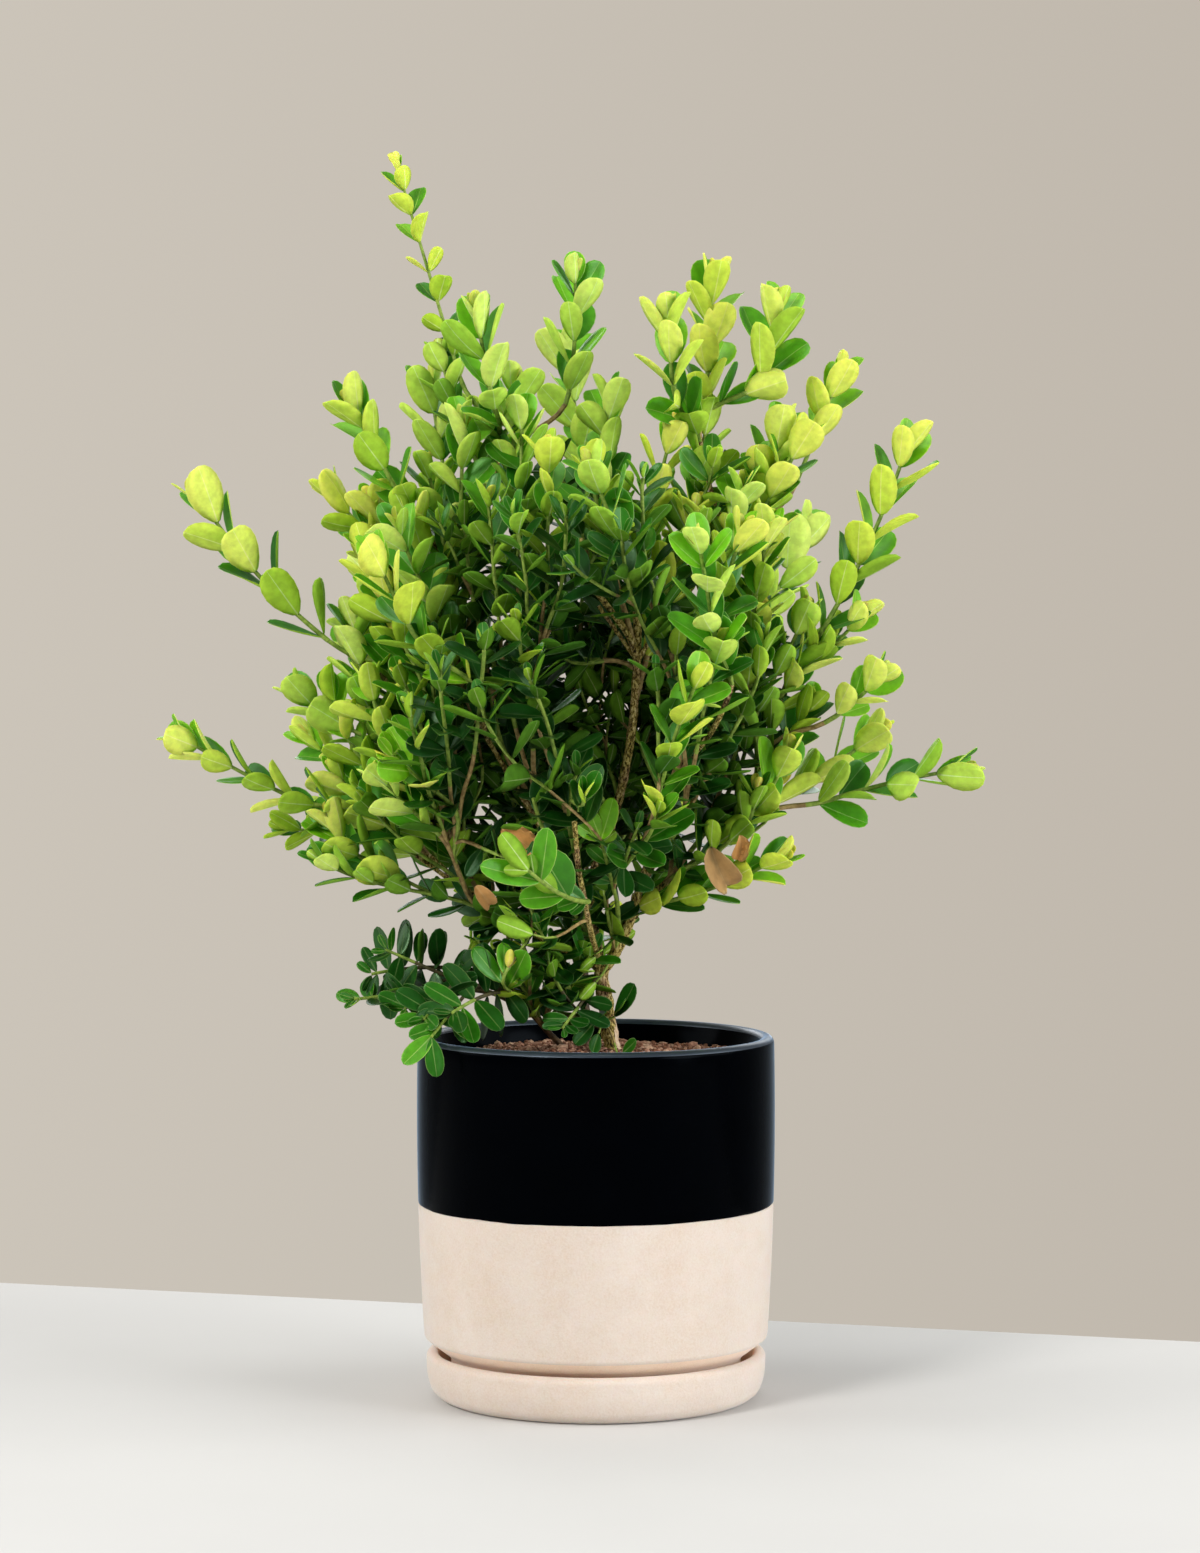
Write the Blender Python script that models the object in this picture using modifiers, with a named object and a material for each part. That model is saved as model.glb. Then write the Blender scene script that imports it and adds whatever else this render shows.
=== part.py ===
"""A small boxwood shrub in a two-tone clay pot that stands on a saucer.

Metres, +Z up. The origin is at the middle of the saucer's flat underside, and -Y is the front.
The woody limbs are tapering tubes. The crown is a set of uneven masses of leaves that are cut
clear of the limbs and of each other, with a slim leafy shoot wherever one stands out of them.
"""

import math

import bmesh
import bpy
from mathutils import Vector, noise

GAP = 0.0003  # between pieces that touch
LEAF_GAP = 0.0004  # between masses of leaves and what they touch

# Saucer
SAUCER_R = 0.0668
SAUCER_BASE_R = 0.0590
SAUCER_H = 0.0185
SAUCER_WALL = 0.0052
SAUCER_FLOOR = 0.0050
SAUCER_BELLY_Z = 0.0095

# Pot
POT_R = 0.0704
POT_TOP = 0.1425
POT_WALL = 0.0082
POT_LIP = 0.0036  # half the rounded rim
POT_WALL_ZS = (0.128, 0.095, 0.065, 0.042)  # heights at which the outer wall's curve is drawn
POT_BELLY_Z = 0.1120  # where the barrel is widest
POT_BARREL = 0.0028  # how far the wall draws in down to the lower corner
CORNER_Z = 0.0245
CORNER_R = 0.0020
UNDERCUT_Z = 0.0165
FOOT_R = 0.0570
POT_FLOOR = 0.0080
DRAIN_R = 0.0060

# Soil
SOIL_EDGE_Z = 0.1338
SOIL_MOUND_Z = 0.1370
MOUND_R = 0.0200
MOUND_FOOT_R = 0.0400
GROUND = SOIL_MOUND_Z + GAP  # the flat cut under each stem

TURN_STEPS = 32
LIMB_POINTS = 7
STRAIGHT = 0.0015  # how far a limb runs straight out of the end of the one before
FLARE_H = 0.0050  # height over which a stem's root flare dies away
SHOOT_RINGS = 6
SHOOT_SIDES = 6
UNEVEN = 0.12  # of the radius, on a mass of leaves
CONTACT_DEG = 28.0  # how wide a mass swells to meet a limb or a shoot

# Stems that rise from the soil: foot (x, y), a point halfway, tip, and the radii of foot and tip.
STEMS = {
    "trunk": ((0.006, 0.000), (0.0022, 0.001, 0.166), (-0.004, 0.004, 0.199), 0.0034, 0.0022),
    "stem_back": ((-0.004, 0.014), (-0.006, 0.022, 0.210), (-0.010, 0.026, 0.278), 0.0019, 0.0011),
    "stem_skirt": ((-0.015, 0.003), (-0.032, 0.001, 0.157), (-0.049, -0.002, 0.167), 0.0016, 0.0009),
}

# Boughs: the limb that carries it, how far up that limb, a point halfway, tip, the radii of root
# and tip, and the mass of leaves that it ends in, if any.
BOUGHS = {
    "bough_right_low": ("trunk", 0.47, (0.011, -0.003, 0.182), (0.016, -0.005, 0.198), 0.0026, 0.0021, None),
    "bough_centre": ("trunk", 1.00, (0.012, -0.008, 0.250), (0.016, -0.012, 0.309), 0.0021, 0.0017, None),
    "bough_left": ("trunk", 0.93, (-0.024, -0.008, 0.229), (-0.048, -0.015, 0.269), 0.0017, 0.0010,
                   "foliage_left_front"),
    "bough_right": ("bough_right_low", 1.00, (0.028, -0.010, 0.236), (0.038, -0.016, 0.274), 0.0017, 0.0010,
                    "foliage_right_front"),
    "bough_far_right": ("bough_right_low", 0.80, (0.033, -0.009, 0.207), (0.056, -0.010, 0.222), 0.0014,
                        0.0009, "foliage_right_low"),
    "bough_low_left": ("trunk", 0.52, (-0.036, -0.008, 0.190), (-0.078, -0.010, 0.220), 0.0016, 0.0009,
                       "foliage_left_low"),
    "bough_front": ("trunk", 0.55, (-0.002, -0.032, 0.186), (-0.004, -0.058, 0.200), 0.0014, 0.0009, None),
    "bough_back_left": ("stem_back", 0.42, (-0.024, 0.030, 0.236), (-0.044, 0.044, 0.270), 0.0013, 0.0009,
                        "foliage_back_left"),
    "bough_back_right": ("stem_back", 0.35, (0.018, 0.034, 0.224), (0.044, 0.046, 0.266), 0.0013, 0.0009,
                         "foliage_back_right"),
    "bough_back_low": ("stem_back", 0.25, (0.000, 0.036, 0.190), (0.002, 0.052, 0.214), 0.0012, 0.0009,
                       "foliage_back_low"),
}

# Masses of leaves: centre and half-sizes.
MASSES = {
    "foliage_left_low": ((-0.084, -0.008, 0.236), (0.034, 0.034, 0.026)),
    "foliage_front_low": ((-0.008, -0.060, 0.226), (0.034, 0.026, 0.026)),
    "foliage_right_low": ((0.062, -0.004, 0.235), (0.032, 0.034, 0.025)),
    "foliage_back_low": ((0.000, 0.066, 0.232), (0.040, 0.030, 0.028)),
    "foliage_left": ((-0.084, 0.004, 0.282), (0.030, 0.036, 0.030)),
    "foliage_left_front": ((-0.046, -0.050, 0.280), (0.034, 0.032, 0.032)),
    "foliage_right_front": ((0.052, -0.052, 0.280), (0.034, 0.032, 0.032)),
    "foliage_right": ((0.076, 0.002, 0.284), (0.028, 0.036, 0.029)),
    "foliage_back_right": ((0.050, 0.060, 0.284), (0.038, 0.034, 0.034)),
    "foliage_back_left": ((-0.052, 0.060, 0.284), (0.038, 0.034, 0.034)),
    "foliage_upper_left": ((-0.064, -0.002, 0.336), (0.036, 0.040, 0.032)),
    "foliage_upper_front": ((-0.006, -0.046, 0.336), (0.042, 0.034, 0.036)),
    "foliage_upper_right": ((0.056, -0.002, 0.338), (0.032, 0.040, 0.034)),
    "foliage_upper_back": ((0.000, 0.052, 0.334), (0.042, 0.036, 0.035)),
    "foliage_top_left": ((-0.036, 0.002, 0.380), (0.034, 0.036, 0.026)),
    "foliage_top_right": ((0.042, 0.004, 0.384), (0.038, 0.036, 0.028)),
}

# Shoots that stand out of the crown: the mass that each leaves, root, a point halfway, tip, radius.
SHOOTS = {
    "shoot_far_left": ("foliage_left_low", (-0.069, -0.005, 0.223), (-0.117, -0.013, 0.238),
                       (-0.166, -0.020, 0.266), 0.0085),
    "shoot_left_low": ("foliage_left_low", (-0.061, 0.000, 0.210), (-0.098, 0.012, 0.220),
                       (-0.132, 0.018, 0.223), 0.0080),
    "shoot_left_arm": ("foliage_left", (-0.076, -0.008, 0.278), (-0.122, -0.014, 0.309),
                       (-0.159, -0.015, 0.358), 0.0095),
    "shoot_left_front": ("foliage_left_front", (-0.056, -0.045, 0.279), (-0.074, -0.058, 0.310),
                         (-0.087, -0.062, 0.340), 0.0100),
    "shoot_left_upper": ("foliage_upper_left", (-0.064, -0.010, 0.335), (-0.084, -0.012, 0.368),
                         (-0.098, -0.012, 0.397), 0.0090),
    "shoot_spire": ("foliage_top_left", (-0.045, 0.004, 0.372), (-0.062, 0.004, 0.430),
                    (-0.079, 0.000, 0.487), 0.0075),
    "shoot_top_left": ("foliage_top_left", (-0.036, -0.020, 0.366), (-0.042, -0.028, 0.402),
                       (-0.048, -0.030, 0.432), 0.0095),
    "shoot_top_middle": ("foliage_top_left", (-0.014, 0.006, 0.378), (-0.008, 0.004, 0.418),
                         (-0.010, 0.000, 0.449), 0.0085),
    "shoot_top_right_near": ("foliage_top_right", (0.029, -0.014, 0.372), (0.029, -0.020, 0.405),
                             (0.027, -0.022, 0.433), 0.0085),
    "shoot_top_right_tall": ("foliage_top_right", (0.043, 0.012, 0.376), (0.045, 0.015, 0.415),
                             (0.046, 0.015, 0.449), 0.0085),
    "shoot_top_right_far": ("foliage_top_right", (0.058, -0.004, 0.376), (0.067, -0.005, 0.408),
                            (0.072, -0.005, 0.436), 0.0080),
    "shoot_right_upper": ("foliage_upper_right", (0.070, 0.006, 0.341), (0.086, 0.009, 0.377),
                          (0.098, 0.010, 0.410), 0.0090),
    "shoot_right_tall": ("foliage_right", (0.082, -0.005, 0.292), (0.108, -0.005, 0.338),
                         (0.124, -0.005, 0.384), 0.0085),
    "shoot_right_small": ("foliage_right", (0.089, -0.008, 0.272), (0.104, -0.018, 0.276),
                          (0.113, -0.020, 0.292), 0.0070),
    "shoot_right_middle": ("foliage_right_low", (0.072, 0.010, 0.235), (0.098, 0.020, 0.250),
                           (0.118, 0.022, 0.268), 0.0085),
    "shoot_far_right": ("foliage_right_low", (0.059, 0.000, 0.222), (0.108, -0.004, 0.240),
                        (0.152, -0.006, 0.248), 0.0085),
    "shoot_right_low": ("bough_right_low", 0.72, (0.046, -0.024, 0.199), (0.078, -0.034, 0.216), 0.0080),
    "shoot_front_low": ("bough_front", 1.00, (-0.014, -0.078, 0.203), (-0.032, -0.096, 0.221), 0.0100),
    "shoot_front_right": ("foliage_right_front", (0.046, -0.055, 0.285), (0.042, -0.078, 0.314),
                          (0.036, -0.092, 0.342), 0.0095),
    "shoot_foot": ("trunk", 0.14, (-0.013, -0.010, 0.158), (-0.018, -0.012, 0.182), 0.0085),
    "shoot_droop_out": ("stem_skirt", 1.00, (-0.070, -0.003, 0.170), (-0.096, -0.008, 0.163), 0.0105),
    "shoot_droop_rim": ("stem_skirt", 0.62, (-0.044, -0.022, 0.160), (-0.062, -0.038, 0.149), 0.0072),
    "shoot_back_left": ("foliage_back_left", (-0.048, 0.060, 0.284), (-0.078, 0.088, 0.306),
                        (-0.100, 0.112, 0.336), 0.0090),
    "shoot_back_right": ("foliage_back_right", (0.050, 0.058, 0.286), (0.074, 0.088, 0.316),
                         (0.090, 0.110, 0.352), 0.0090),
    "shoot_back_low": ("foliage_back_low", (0.002, 0.062, 0.228), (0.016, 0.096, 0.238),
                       (0.026, 0.126, 0.254), 0.0085),
    "shoot_back_top": ("foliage_upper_back", (0.002, 0.048, 0.340), (-0.008, 0.066, 0.388),
                       (-0.012, 0.068, 0.424), 0.0090),
}


# ---- materials and collections -------------------------------------------------------------


def clear_scene():
    for thing in list(bpy.data.objects):
        bpy.data.objects.remove(thing, do_unlink=True)


def new_material(name, colour, roughness):
    made = bpy.data.materials.new(name)
    made.use_nodes = True
    shader = made.node_tree.nodes["Principled BSDF"]
    shader.inputs["Base Color"].default_value = (*colour, 1.0)
    shader.inputs["Roughness"].default_value = roughness
    shader.inputs["Metallic"].default_value = 0.0
    return made


def put(name, data, material, collection):
    """An object of this mesh or curve, with its material, in the shrub's collection."""
    data.materials.append(material)
    made = bpy.data.objects.new(name, data)
    collection.objects.link(made)
    return made


# ---- turned pieces: saucer, pot and soil ---------------------------------------------------


def arc(middle, radius, start_deg, end_deg, steps):
    """Points (r, z) round part of a circle, angles measured from +r towards +z."""
    points = []
    for i in range(steps + 1):
        angle = math.radians(start_deg + (end_deg - start_deg) * i / steps)
        points.append((middle[0] + radius * math.cos(angle), middle[1] + radius * math.sin(angle)))
    return points


def turned(name, profile, closed, material, collection):
    """A profile of (r, z) points, down its outer side, turned about the Z axis."""
    mesh = bpy.data.meshes.new(name)
    count = len(profile)
    edges = [(i, (i + 1) % count) for i in range(count if closed else count - 1)]
    mesh.from_pydata([(r, 0.0, z) for r, z in profile], edges, [])
    made = put(name, mesh, material, collection)
    screw = made.modifiers.new("turn", "SCREW")
    screw.steps = TURN_STEPS
    screw.render_steps = TURN_STEPS
    screw.use_merge_vertices = True
    screw.merge_threshold = 0.00001
    screw.use_smooth_shade = True
    return made


def pot_outer_r(z):
    """Radius of the pot's slightly barrelled outer wall at a height."""
    fall = (z - POT_BELLY_Z) / (POT_BELLY_Z - CORNER_Z)
    return POT_R - POT_BARREL * fall * fall


def pot_inner(inset=0.0):
    """The pot's inner wall from its mouth down to its floor, drawn in by inset."""
    floor_z = SAUCER_FLOOR + GAP + POT_FLOOR + inset
    wall = [(pot_outer_r(z) - POT_WALL - inset, z) for z in (0.130, 0.100, 0.065)]
    heel = [(FOOT_R + 0.0025 - inset, 0.036), (FOOT_R - 0.0050 - inset, 0.022)]
    return wall + heel + [(FOOT_R - 0.0100 - inset, floor_z)]


def make_saucer(material, collection):
    inner_r = SAUCER_R - SAUCER_WALL
    lip = SAUCER_WALL / 2.0
    profile = [(0.0, SAUCER_FLOOR), (inner_r - 0.003, SAUCER_FLOOR), (inner_r, SAUCER_FLOOR + 0.003)]
    profile += arc((inner_r + lip, SAUCER_H - lip), lip, 180.0, 20.0, 4)
    profile += [(SAUCER_R, SAUCER_BELLY_Z), (SAUCER_R - 0.0012, 0.0052), (SAUCER_R - 0.0038, 0.0018)]
    profile += [(SAUCER_BASE_R, 0.0), (0.0, 0.0)]
    return turned("saucer", profile, False, material, collection)


def make_pot(material, collection):
    outer = [(pot_outer_r(z), z) for z in POT_WALL_ZS]
    corner_r = pot_outer_r(CORNER_Z)
    corner = arc((corner_r - CORNER_R, CORNER_Z + 0.001), CORNER_R, 0.0, -50.0, 2)
    base_z = SAUCER_FLOOR + GAP
    foot = [(FOOT_R + 0.0015, UNDERCUT_Z), (FOOT_R, UNDERCUT_Z - 0.002), (FOOT_R - 0.0006, base_z)]
    profile = arc((POT_R - POT_WALL / 2.0 - GAP, POT_TOP - POT_LIP), POT_LIP, 150.0, 10.0, 4)
    profile += outer + corner + foot
    profile += [(DRAIN_R, base_z), (DRAIN_R, base_z + POT_FLOOR)]
    profile += reversed(pot_inner())
    return turned("pot", profile, True, material, collection)


def make_soil(material, collection):
    side = pot_inner(GAP)
    edge_r = side[0][0]
    profile = [(0.0, SOIL_MOUND_Z), (MOUND_R, SOIL_MOUND_Z), (MOUND_FOOT_R, SOIL_EDGE_Z + 0.0006)]
    profile += [(0.9 * edge_r, SOIL_EDGE_Z - 0.0006), (edge_r, SOIL_EDGE_Z)]
    profile += side + [(0.0, side[-1][1])]
    return turned("soil", profile, False, material, collection)


# ---- axes of limbs and shoots --------------------------------------------------------------


def bent_line(root, halfway, tip, steps=400):
    """Points of the smooth line from root to tip that passes through halfway at its middle."""
    root, halfway, tip = Vector(root), Vector(halfway), Vector(tip)
    pull = 2.0 * halfway - (root + tip) / 2.0
    points = []
    for i in range(steps + 1):
        t = i / steps
        points.append((1 - t) ** 2 * root + 2 * t * (1 - t) * pull + t * t * tip)
    return points


def length_along(points):
    runs = [0.0]
    for a, b in zip(points, points[1:]):
        runs.append(runs[-1] + (b - a).length)
    return runs


def at_fraction(points, fraction):
    """Point and direction of the line at a fraction of its length."""
    runs = length_along(points)
    goal = fraction * runs[-1]
    for i in range(len(points) - 1):
        if runs[i + 1] >= goal or i == len(points) - 2:
            step = points[i + 1] - points[i]
            share = (goal - runs[i]) / max(runs[i + 1] - runs[i], 1e-9)
            return points[i] + share * step, step.normalized()


def evenly(points, count):
    return [at_fraction(points, i / (count - 1))[0] for i in range(count)]


def nearest_on(a, b, point):
    """Nearest point to point of the segment from a to b, and its share of the way."""
    along = b - a
    share = max(0.0, min(1.0, (point - a).dot(along) / along.length_squared))
    return a + share * along, share


class Limb:
    """A line with a radius at each of its points. Its start may face another way than the line."""

    def __init__(self, points, radii, start_direction=None):
        self.points = points
        self.radii = radii
        self.start_direction = start_direction

    def direction(self, i):
        if i == 0 and self.start_direction:
            return self.start_direction
        before = self.points[max(i - 1, 0)]
        after = self.points[min(i + 1, len(self.points) - 1)]
        return (after - before).normalized()

    def clearance(self, point):
        """Distance from a point to the limb's side."""
        best = math.inf
        for i in range(len(self.points) - 1):
            spot, share = nearest_on(self.points[i], self.points[i + 1], point)
            radius = self.radii[i] + share * (self.radii[i + 1] - self.radii[i])
            best = min(best, (point - spot).length - radius)
        return best


def clear_of_parent(points, radius, parent):
    """The line without the start that lies within the limb it grows from."""
    for first in range(len(points) - 2):
        here = points[first]
        along = (points[first + 1] - here).normalized()
        side = along.orthogonal().normalized()
        rim = [here + radius * (math.cos(a) * side + math.sin(a) * along.cross(side))
               for a in (i * math.pi / 6 for i in range(12))]
        if min(parent.clearance(point) for point in rim) >= GAP:
            return points[first:]
    raise ValueError("a limb never leaves its parent")


def beyond_end(points, parent, straight):
    """The line begun straight out of its parent's end, and that end's direction."""
    out = parent.direction(len(parent.points) - 1)
    end = parent.points[-1] + GAP * out
    rest = [point for point in points if (point - end).dot(out) > 2.0 * straight]
    return [end, end + straight * out] + rest, out


def inside_mass(point, mass, share=0.96):
    centre, half = mass
    away = point - Vector(centre)
    return sum((away[k] / (share * half[k])) ** 2 for k in range(3)) < 1.0


def outside_part(points, mass):
    """The part of the line beyond the point where it last leaves a mass."""
    last = 0
    for i, point in enumerate(points):
        if inside_mass(point, mass):
            last = i
    return points[last:]


def part_before(points, mass):
    """The part of the line up to the point where it first enters a mass."""
    for i, point in enumerate(points):
        if inside_mass(point, mass):
            return points[: i + 1]
    return points


# ---- limbs ---------------------------------------------------------------------------------


def taper(foot_r, tip_r, count):
    return [foot_r + (tip_r - foot_r) * i / (count - 1) for i in range(count)]


def stem_limb(foot, halfway, tip, foot_r, tip_r):
    """A stem that starts upright at the soil, with a root flare."""
    foot_point = Vector((*foot, GROUND))
    points = evenly(bent_line(foot_point, halfway, tip), LIMB_POINTS)
    flare = foot_point + Vector((0.0, 0.0, FLARE_H * 0.4))
    points[1:1] = [flare, flare + Vector((0.0, 0.0, FLARE_H * 0.6))]
    radii = taper(foot_r, tip_r, len(points))
    for i, point in enumerate(points):
        radii[i] *= 1.0 + 0.6 * math.exp(-(point.z - GROUND) / (FLARE_H * 0.5))
    return Limb(points, radii)


def grown_limb(limbs, parent, fraction, halfway, tip, root_r, tip_r, into):
    root = at_fraction(limbs[parent].points, fraction)[0]
    points = bent_line(root, halfway, tip)
    if fraction < 1.0:
        points = clear_of_parent(points, root_r, limbs[parent])
        if into:
            points = part_before(points, MASSES[into])
        points = evenly(points, LIMB_POINTS)
    else:
        points, _ = beyond_end(points, limbs[parent], STRAIGHT)
        if into:
            points = part_before(points, MASSES[into])
        points = points[:2] + evenly(points[2:], LIMB_POINTS - 2)
    return Limb(points, taper(root_r, tip_r, LIMB_POINTS))


def make_limb(name, limb, resolution, material, collection):
    curve = bpy.data.curves.new(name, "CURVE")
    curve.dimensions = "3D"
    curve.bevel_depth = 0.001
    curve.bevel_resolution = resolution
    curve.use_fill_caps = True
    spline = curve.splines.new("POLY")
    spline.points.add(len(limb.points) - 1)
    for spot, point, radius in zip(spline.points, limb.points, limb.radii):
        spot.co = (*point, 1.0)
        spot.radius = radius / curve.bevel_depth
    return put(name, curve, material, collection)


# ---- shoots --------------------------------------------------------------------------------


def shoot_radius(radius, share):
    """Narrow at its root, full for most of its length, and rounded off at its tip."""
    rise = min(1.0, 0.40 + 1.6 * share)
    fall = math.sqrt(max(0.0, 1.0 - max(0.0, (share - 0.55) / 0.5) ** 2))
    return radius * rise * fall


def shoot_limb(limbs, spec):
    """The axis of a shoot that leaves a mass of leaves or grows from a limb."""
    *carrier, halfway, tip, radius = spec
    home = carrier[0]
    out = None
    if home in MASSES:
        points = outside_part(bent_line(carrier[1], halfway, tip), MASSES[home])
    else:
        root = at_fraction(limbs[home].points, carrier[1])[0]
        points = bent_line(root, halfway, tip)
        if carrier[1] < 1.0:
            points = clear_of_parent(points, shoot_radius(radius, 0.0), limbs[home])
        else:
            points, out = beyond_end(points, limbs[home], STRAIGHT)
    points = evenly(points, SHOOT_RINGS + 1)
    radii = [shoot_radius(radius, i / SHOOT_RINGS) for i in range(SHOOT_RINGS)] + [0.0]
    return Limb(points, radii, out)


def make_shoot(name, limb, material, collection):
    """An uneven closed skin round a shoot's axis, flat at its root and pointed at its tip."""
    shape = bmesh.new()
    rings = []
    for i in range(SHOOT_RINGS):
        along = limb.direction(i)
        side = along.cross(Vector((0.0, 1.0, 0.1))).normalized()
        ring = []
        for k in range(SHOOT_SIDES):
            turn = (k + 0.5 * (i % 2)) * math.tau / SHOOT_SIDES
            out = math.cos(turn) * side + math.sin(turn) * along.cross(side)
            swell = 1.0 - 1.5 * UNEVEN * abs(noise.noise(limb.points[i] * 90.0 + out * 2.0))
            ring.append(shape.verts.new(limb.points[i] + limb.radii[i] * swell * out))
        rings.append(ring)
    for low, high in zip(rings, rings[1:]):
        for k in range(SHOOT_SIDES):
            shape.faces.new((low[k], low[(k + 1) % SHOOT_SIDES], high[(k + 1) % SHOOT_SIDES], high[k]))
    shape.faces.new(list(reversed(rings[0])))
    tip = shape.verts.new(limb.points[-1])
    for k in range(SHOOT_SIDES):
        shape.faces.new((rings[-1][k], rings[-1][(k + 1) % SHOOT_SIDES], tip))
    bmesh.ops.recalc_face_normals(shape, faces=shape.faces)
    bmesh.ops.triangulate(shape, faces=shape.faces)
    mesh = bpy.data.meshes.new(name)
    shape.to_mesh(mesh)
    shape.free()
    return put(name, mesh, material, collection)


# ---- masses of leaves ----------------------------------------------------------------------


def wall_before(centre, limb, i):
    """The flat wall that keeps a mass clear of one stretch of a limb: its direction and distance."""
    spot, _ = nearest_on(limb.points[i], limb.points[i + 1], centre)
    out = (spot - centre).normalized()
    reach = math.inf
    for end in (i, i + 1):
        tilt = abs(out.dot(limb.direction(end)))
        rim = limb.radii[end] * math.sqrt(max(0.0, 1.0 - tilt * tilt))
        reach = min(reach, (limb.points[end] - centre).dot(out) - rim)
    return out, reach - LEAF_GAP


def half_size(half, out):
    return 1.0 / math.sqrt(sum((out[k] / half[k]) ** 2 for k in range(3)))


def walls_round(name, lines):
    """All the walls round a mass: against limbs, shoots and the other masses."""
    centre = Vector(MASSES[name][0])
    half = MASSES[name][1]
    walls = []
    for line_name, limb in lines.items():
        for i in range(len(limb.points) - 1):
            walls.append((line_name, *wall_before(centre, limb, i)))
    for other, (place, size) in MASSES.items():
        if other != name:
            away = Vector(place) - centre
            out = away.normalized()
            mine, theirs = half_size(half, out), half_size(size, out)
            walls.append((other, out, away.length * mine / (mine + theirs) - LEAF_GAP / 2.0))
    return walls


def make_mass(name, lines, contacts, material, collection):
    """An uneven ball of leaves, cut back flat where limbs, shoots or other masses are."""
    centre = Vector(MASSES[name][0])
    half = MASSES[name][1]
    walls = walls_round(name, lines)
    shape = bmesh.new()
    bmesh.ops.create_icosphere(shape, subdivisions=3, radius=1.0)
    for vert in shape.verts:
        out = vert.co.normalized()
        ragged = noise.noise((centre + half_size(half, out) * out) * 45.0)
        reach = half_size(half, out) * (1.0 + UNEVEN * ragged)
        for spot in contacts:
            near = spot - centre
            if out.dot(near.normalized()) > math.cos(math.radians(CONTACT_DEG)):
                reach = max(reach, near.length * 1.15)
        for _, normal, distance in walls:
            facing = out.dot(normal)
            if facing > 0.0:
                reach = min(reach, distance / facing)
        vert.co = centre + reach * out
    mesh = bpy.data.meshes.new(name)
    shape.to_mesh(mesh)
    shape.free()
    return put(name, mesh, material, collection)


# ---- the whole shrub -----------------------------------------------------------------------


def main():
    clear_scene()
    shrub = bpy.data.collections.new("boxwood_shrub_in_pot")
    bpy.context.scene.collection.children.link(shrub)
    clay = new_material("bare_clay", (0.74, 0.56, 0.43), 0.85)
    glaze = new_material("dark_glaze", (0.006, 0.008, 0.014), 0.35)
    earth = new_material("potting_soil", (0.055, 0.028, 0.018), 0.95)
    bark = new_material("bark", (0.20, 0.14, 0.06), 0.85)
    old_leaves = new_material("old_leaves", (0.030, 0.110, 0.020), 0.40)
    leaves = new_material("leaves", (0.085, 0.240, 0.028), 0.45)
    young_leaves = new_material("young_leaves", (0.260, 0.460, 0.060), 0.50)

    make_saucer(clay, shrub)
    make_pot(glaze, shrub)
    make_soil(earth, shrub)

    limbs = {}
    for name, spec in STEMS.items():
        limbs[name] = stem_limb(*spec)
    for name, spec in BOUGHS.items():
        limbs[name] = grown_limb(limbs, *spec)
    for name, limb in limbs.items():
        make_limb(name, limb, 3 if name == "trunk" else 1, bark, shrub)

    shoots = {name: shoot_limb(limbs, spec) for name, spec in SHOOTS.items()}
    for name, limb in shoots.items():
        make_shoot(name, limb, young_leaves, shrub)

    lines = {**limbs, **shoots}
    for name in MASSES:
        contacts = [shoots[s].points[0] for s, spec in SHOOTS.items() if spec[0] == name]
        contacts += [limbs[b].points[-1] for b, spec in BOUGHS.items() if spec[-1] == name]
        material = old_leaves if name.endswith("low") else leaves
        make_mass(name, lines, contacts, material, shrub)


main()
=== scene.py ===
"""The looks of a small boxwood shrub in a two-tone clay pot on a saucer.

Metres, +Z up, -Y towards the camera. The limbs and the leafy shoots follow the solids of the
frame; twigs then grow on from the limbs into the masses of leaves by a seeded branching rule.
"""

import math
import random
from typing import NamedTuple

import bmesh
import bpy
import numpy as np
from mathutils import Matrix, Vector, noise


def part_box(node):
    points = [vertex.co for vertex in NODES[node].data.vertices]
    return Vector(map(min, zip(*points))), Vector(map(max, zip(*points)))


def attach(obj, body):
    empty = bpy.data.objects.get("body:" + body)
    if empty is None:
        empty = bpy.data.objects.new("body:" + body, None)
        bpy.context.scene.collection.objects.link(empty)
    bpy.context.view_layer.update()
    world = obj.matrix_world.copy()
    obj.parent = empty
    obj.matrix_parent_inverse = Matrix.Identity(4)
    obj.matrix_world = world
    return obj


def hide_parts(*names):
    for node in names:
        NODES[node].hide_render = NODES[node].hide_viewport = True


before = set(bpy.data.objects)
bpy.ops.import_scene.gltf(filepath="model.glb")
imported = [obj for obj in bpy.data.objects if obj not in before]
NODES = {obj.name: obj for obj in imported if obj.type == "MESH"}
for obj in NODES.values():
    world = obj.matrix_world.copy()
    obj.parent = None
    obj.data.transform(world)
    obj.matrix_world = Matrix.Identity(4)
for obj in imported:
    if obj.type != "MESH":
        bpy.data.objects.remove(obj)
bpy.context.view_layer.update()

SEED = 57
noise.seed_set(SEED)


def ellipsoids(*pairs):
    """The middle and half-size of each."""
    return [(np.array(middle), np.array(half)) for middle, half in pairs]


# ---- sizes ---------------------------------------------------------------------------------

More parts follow.
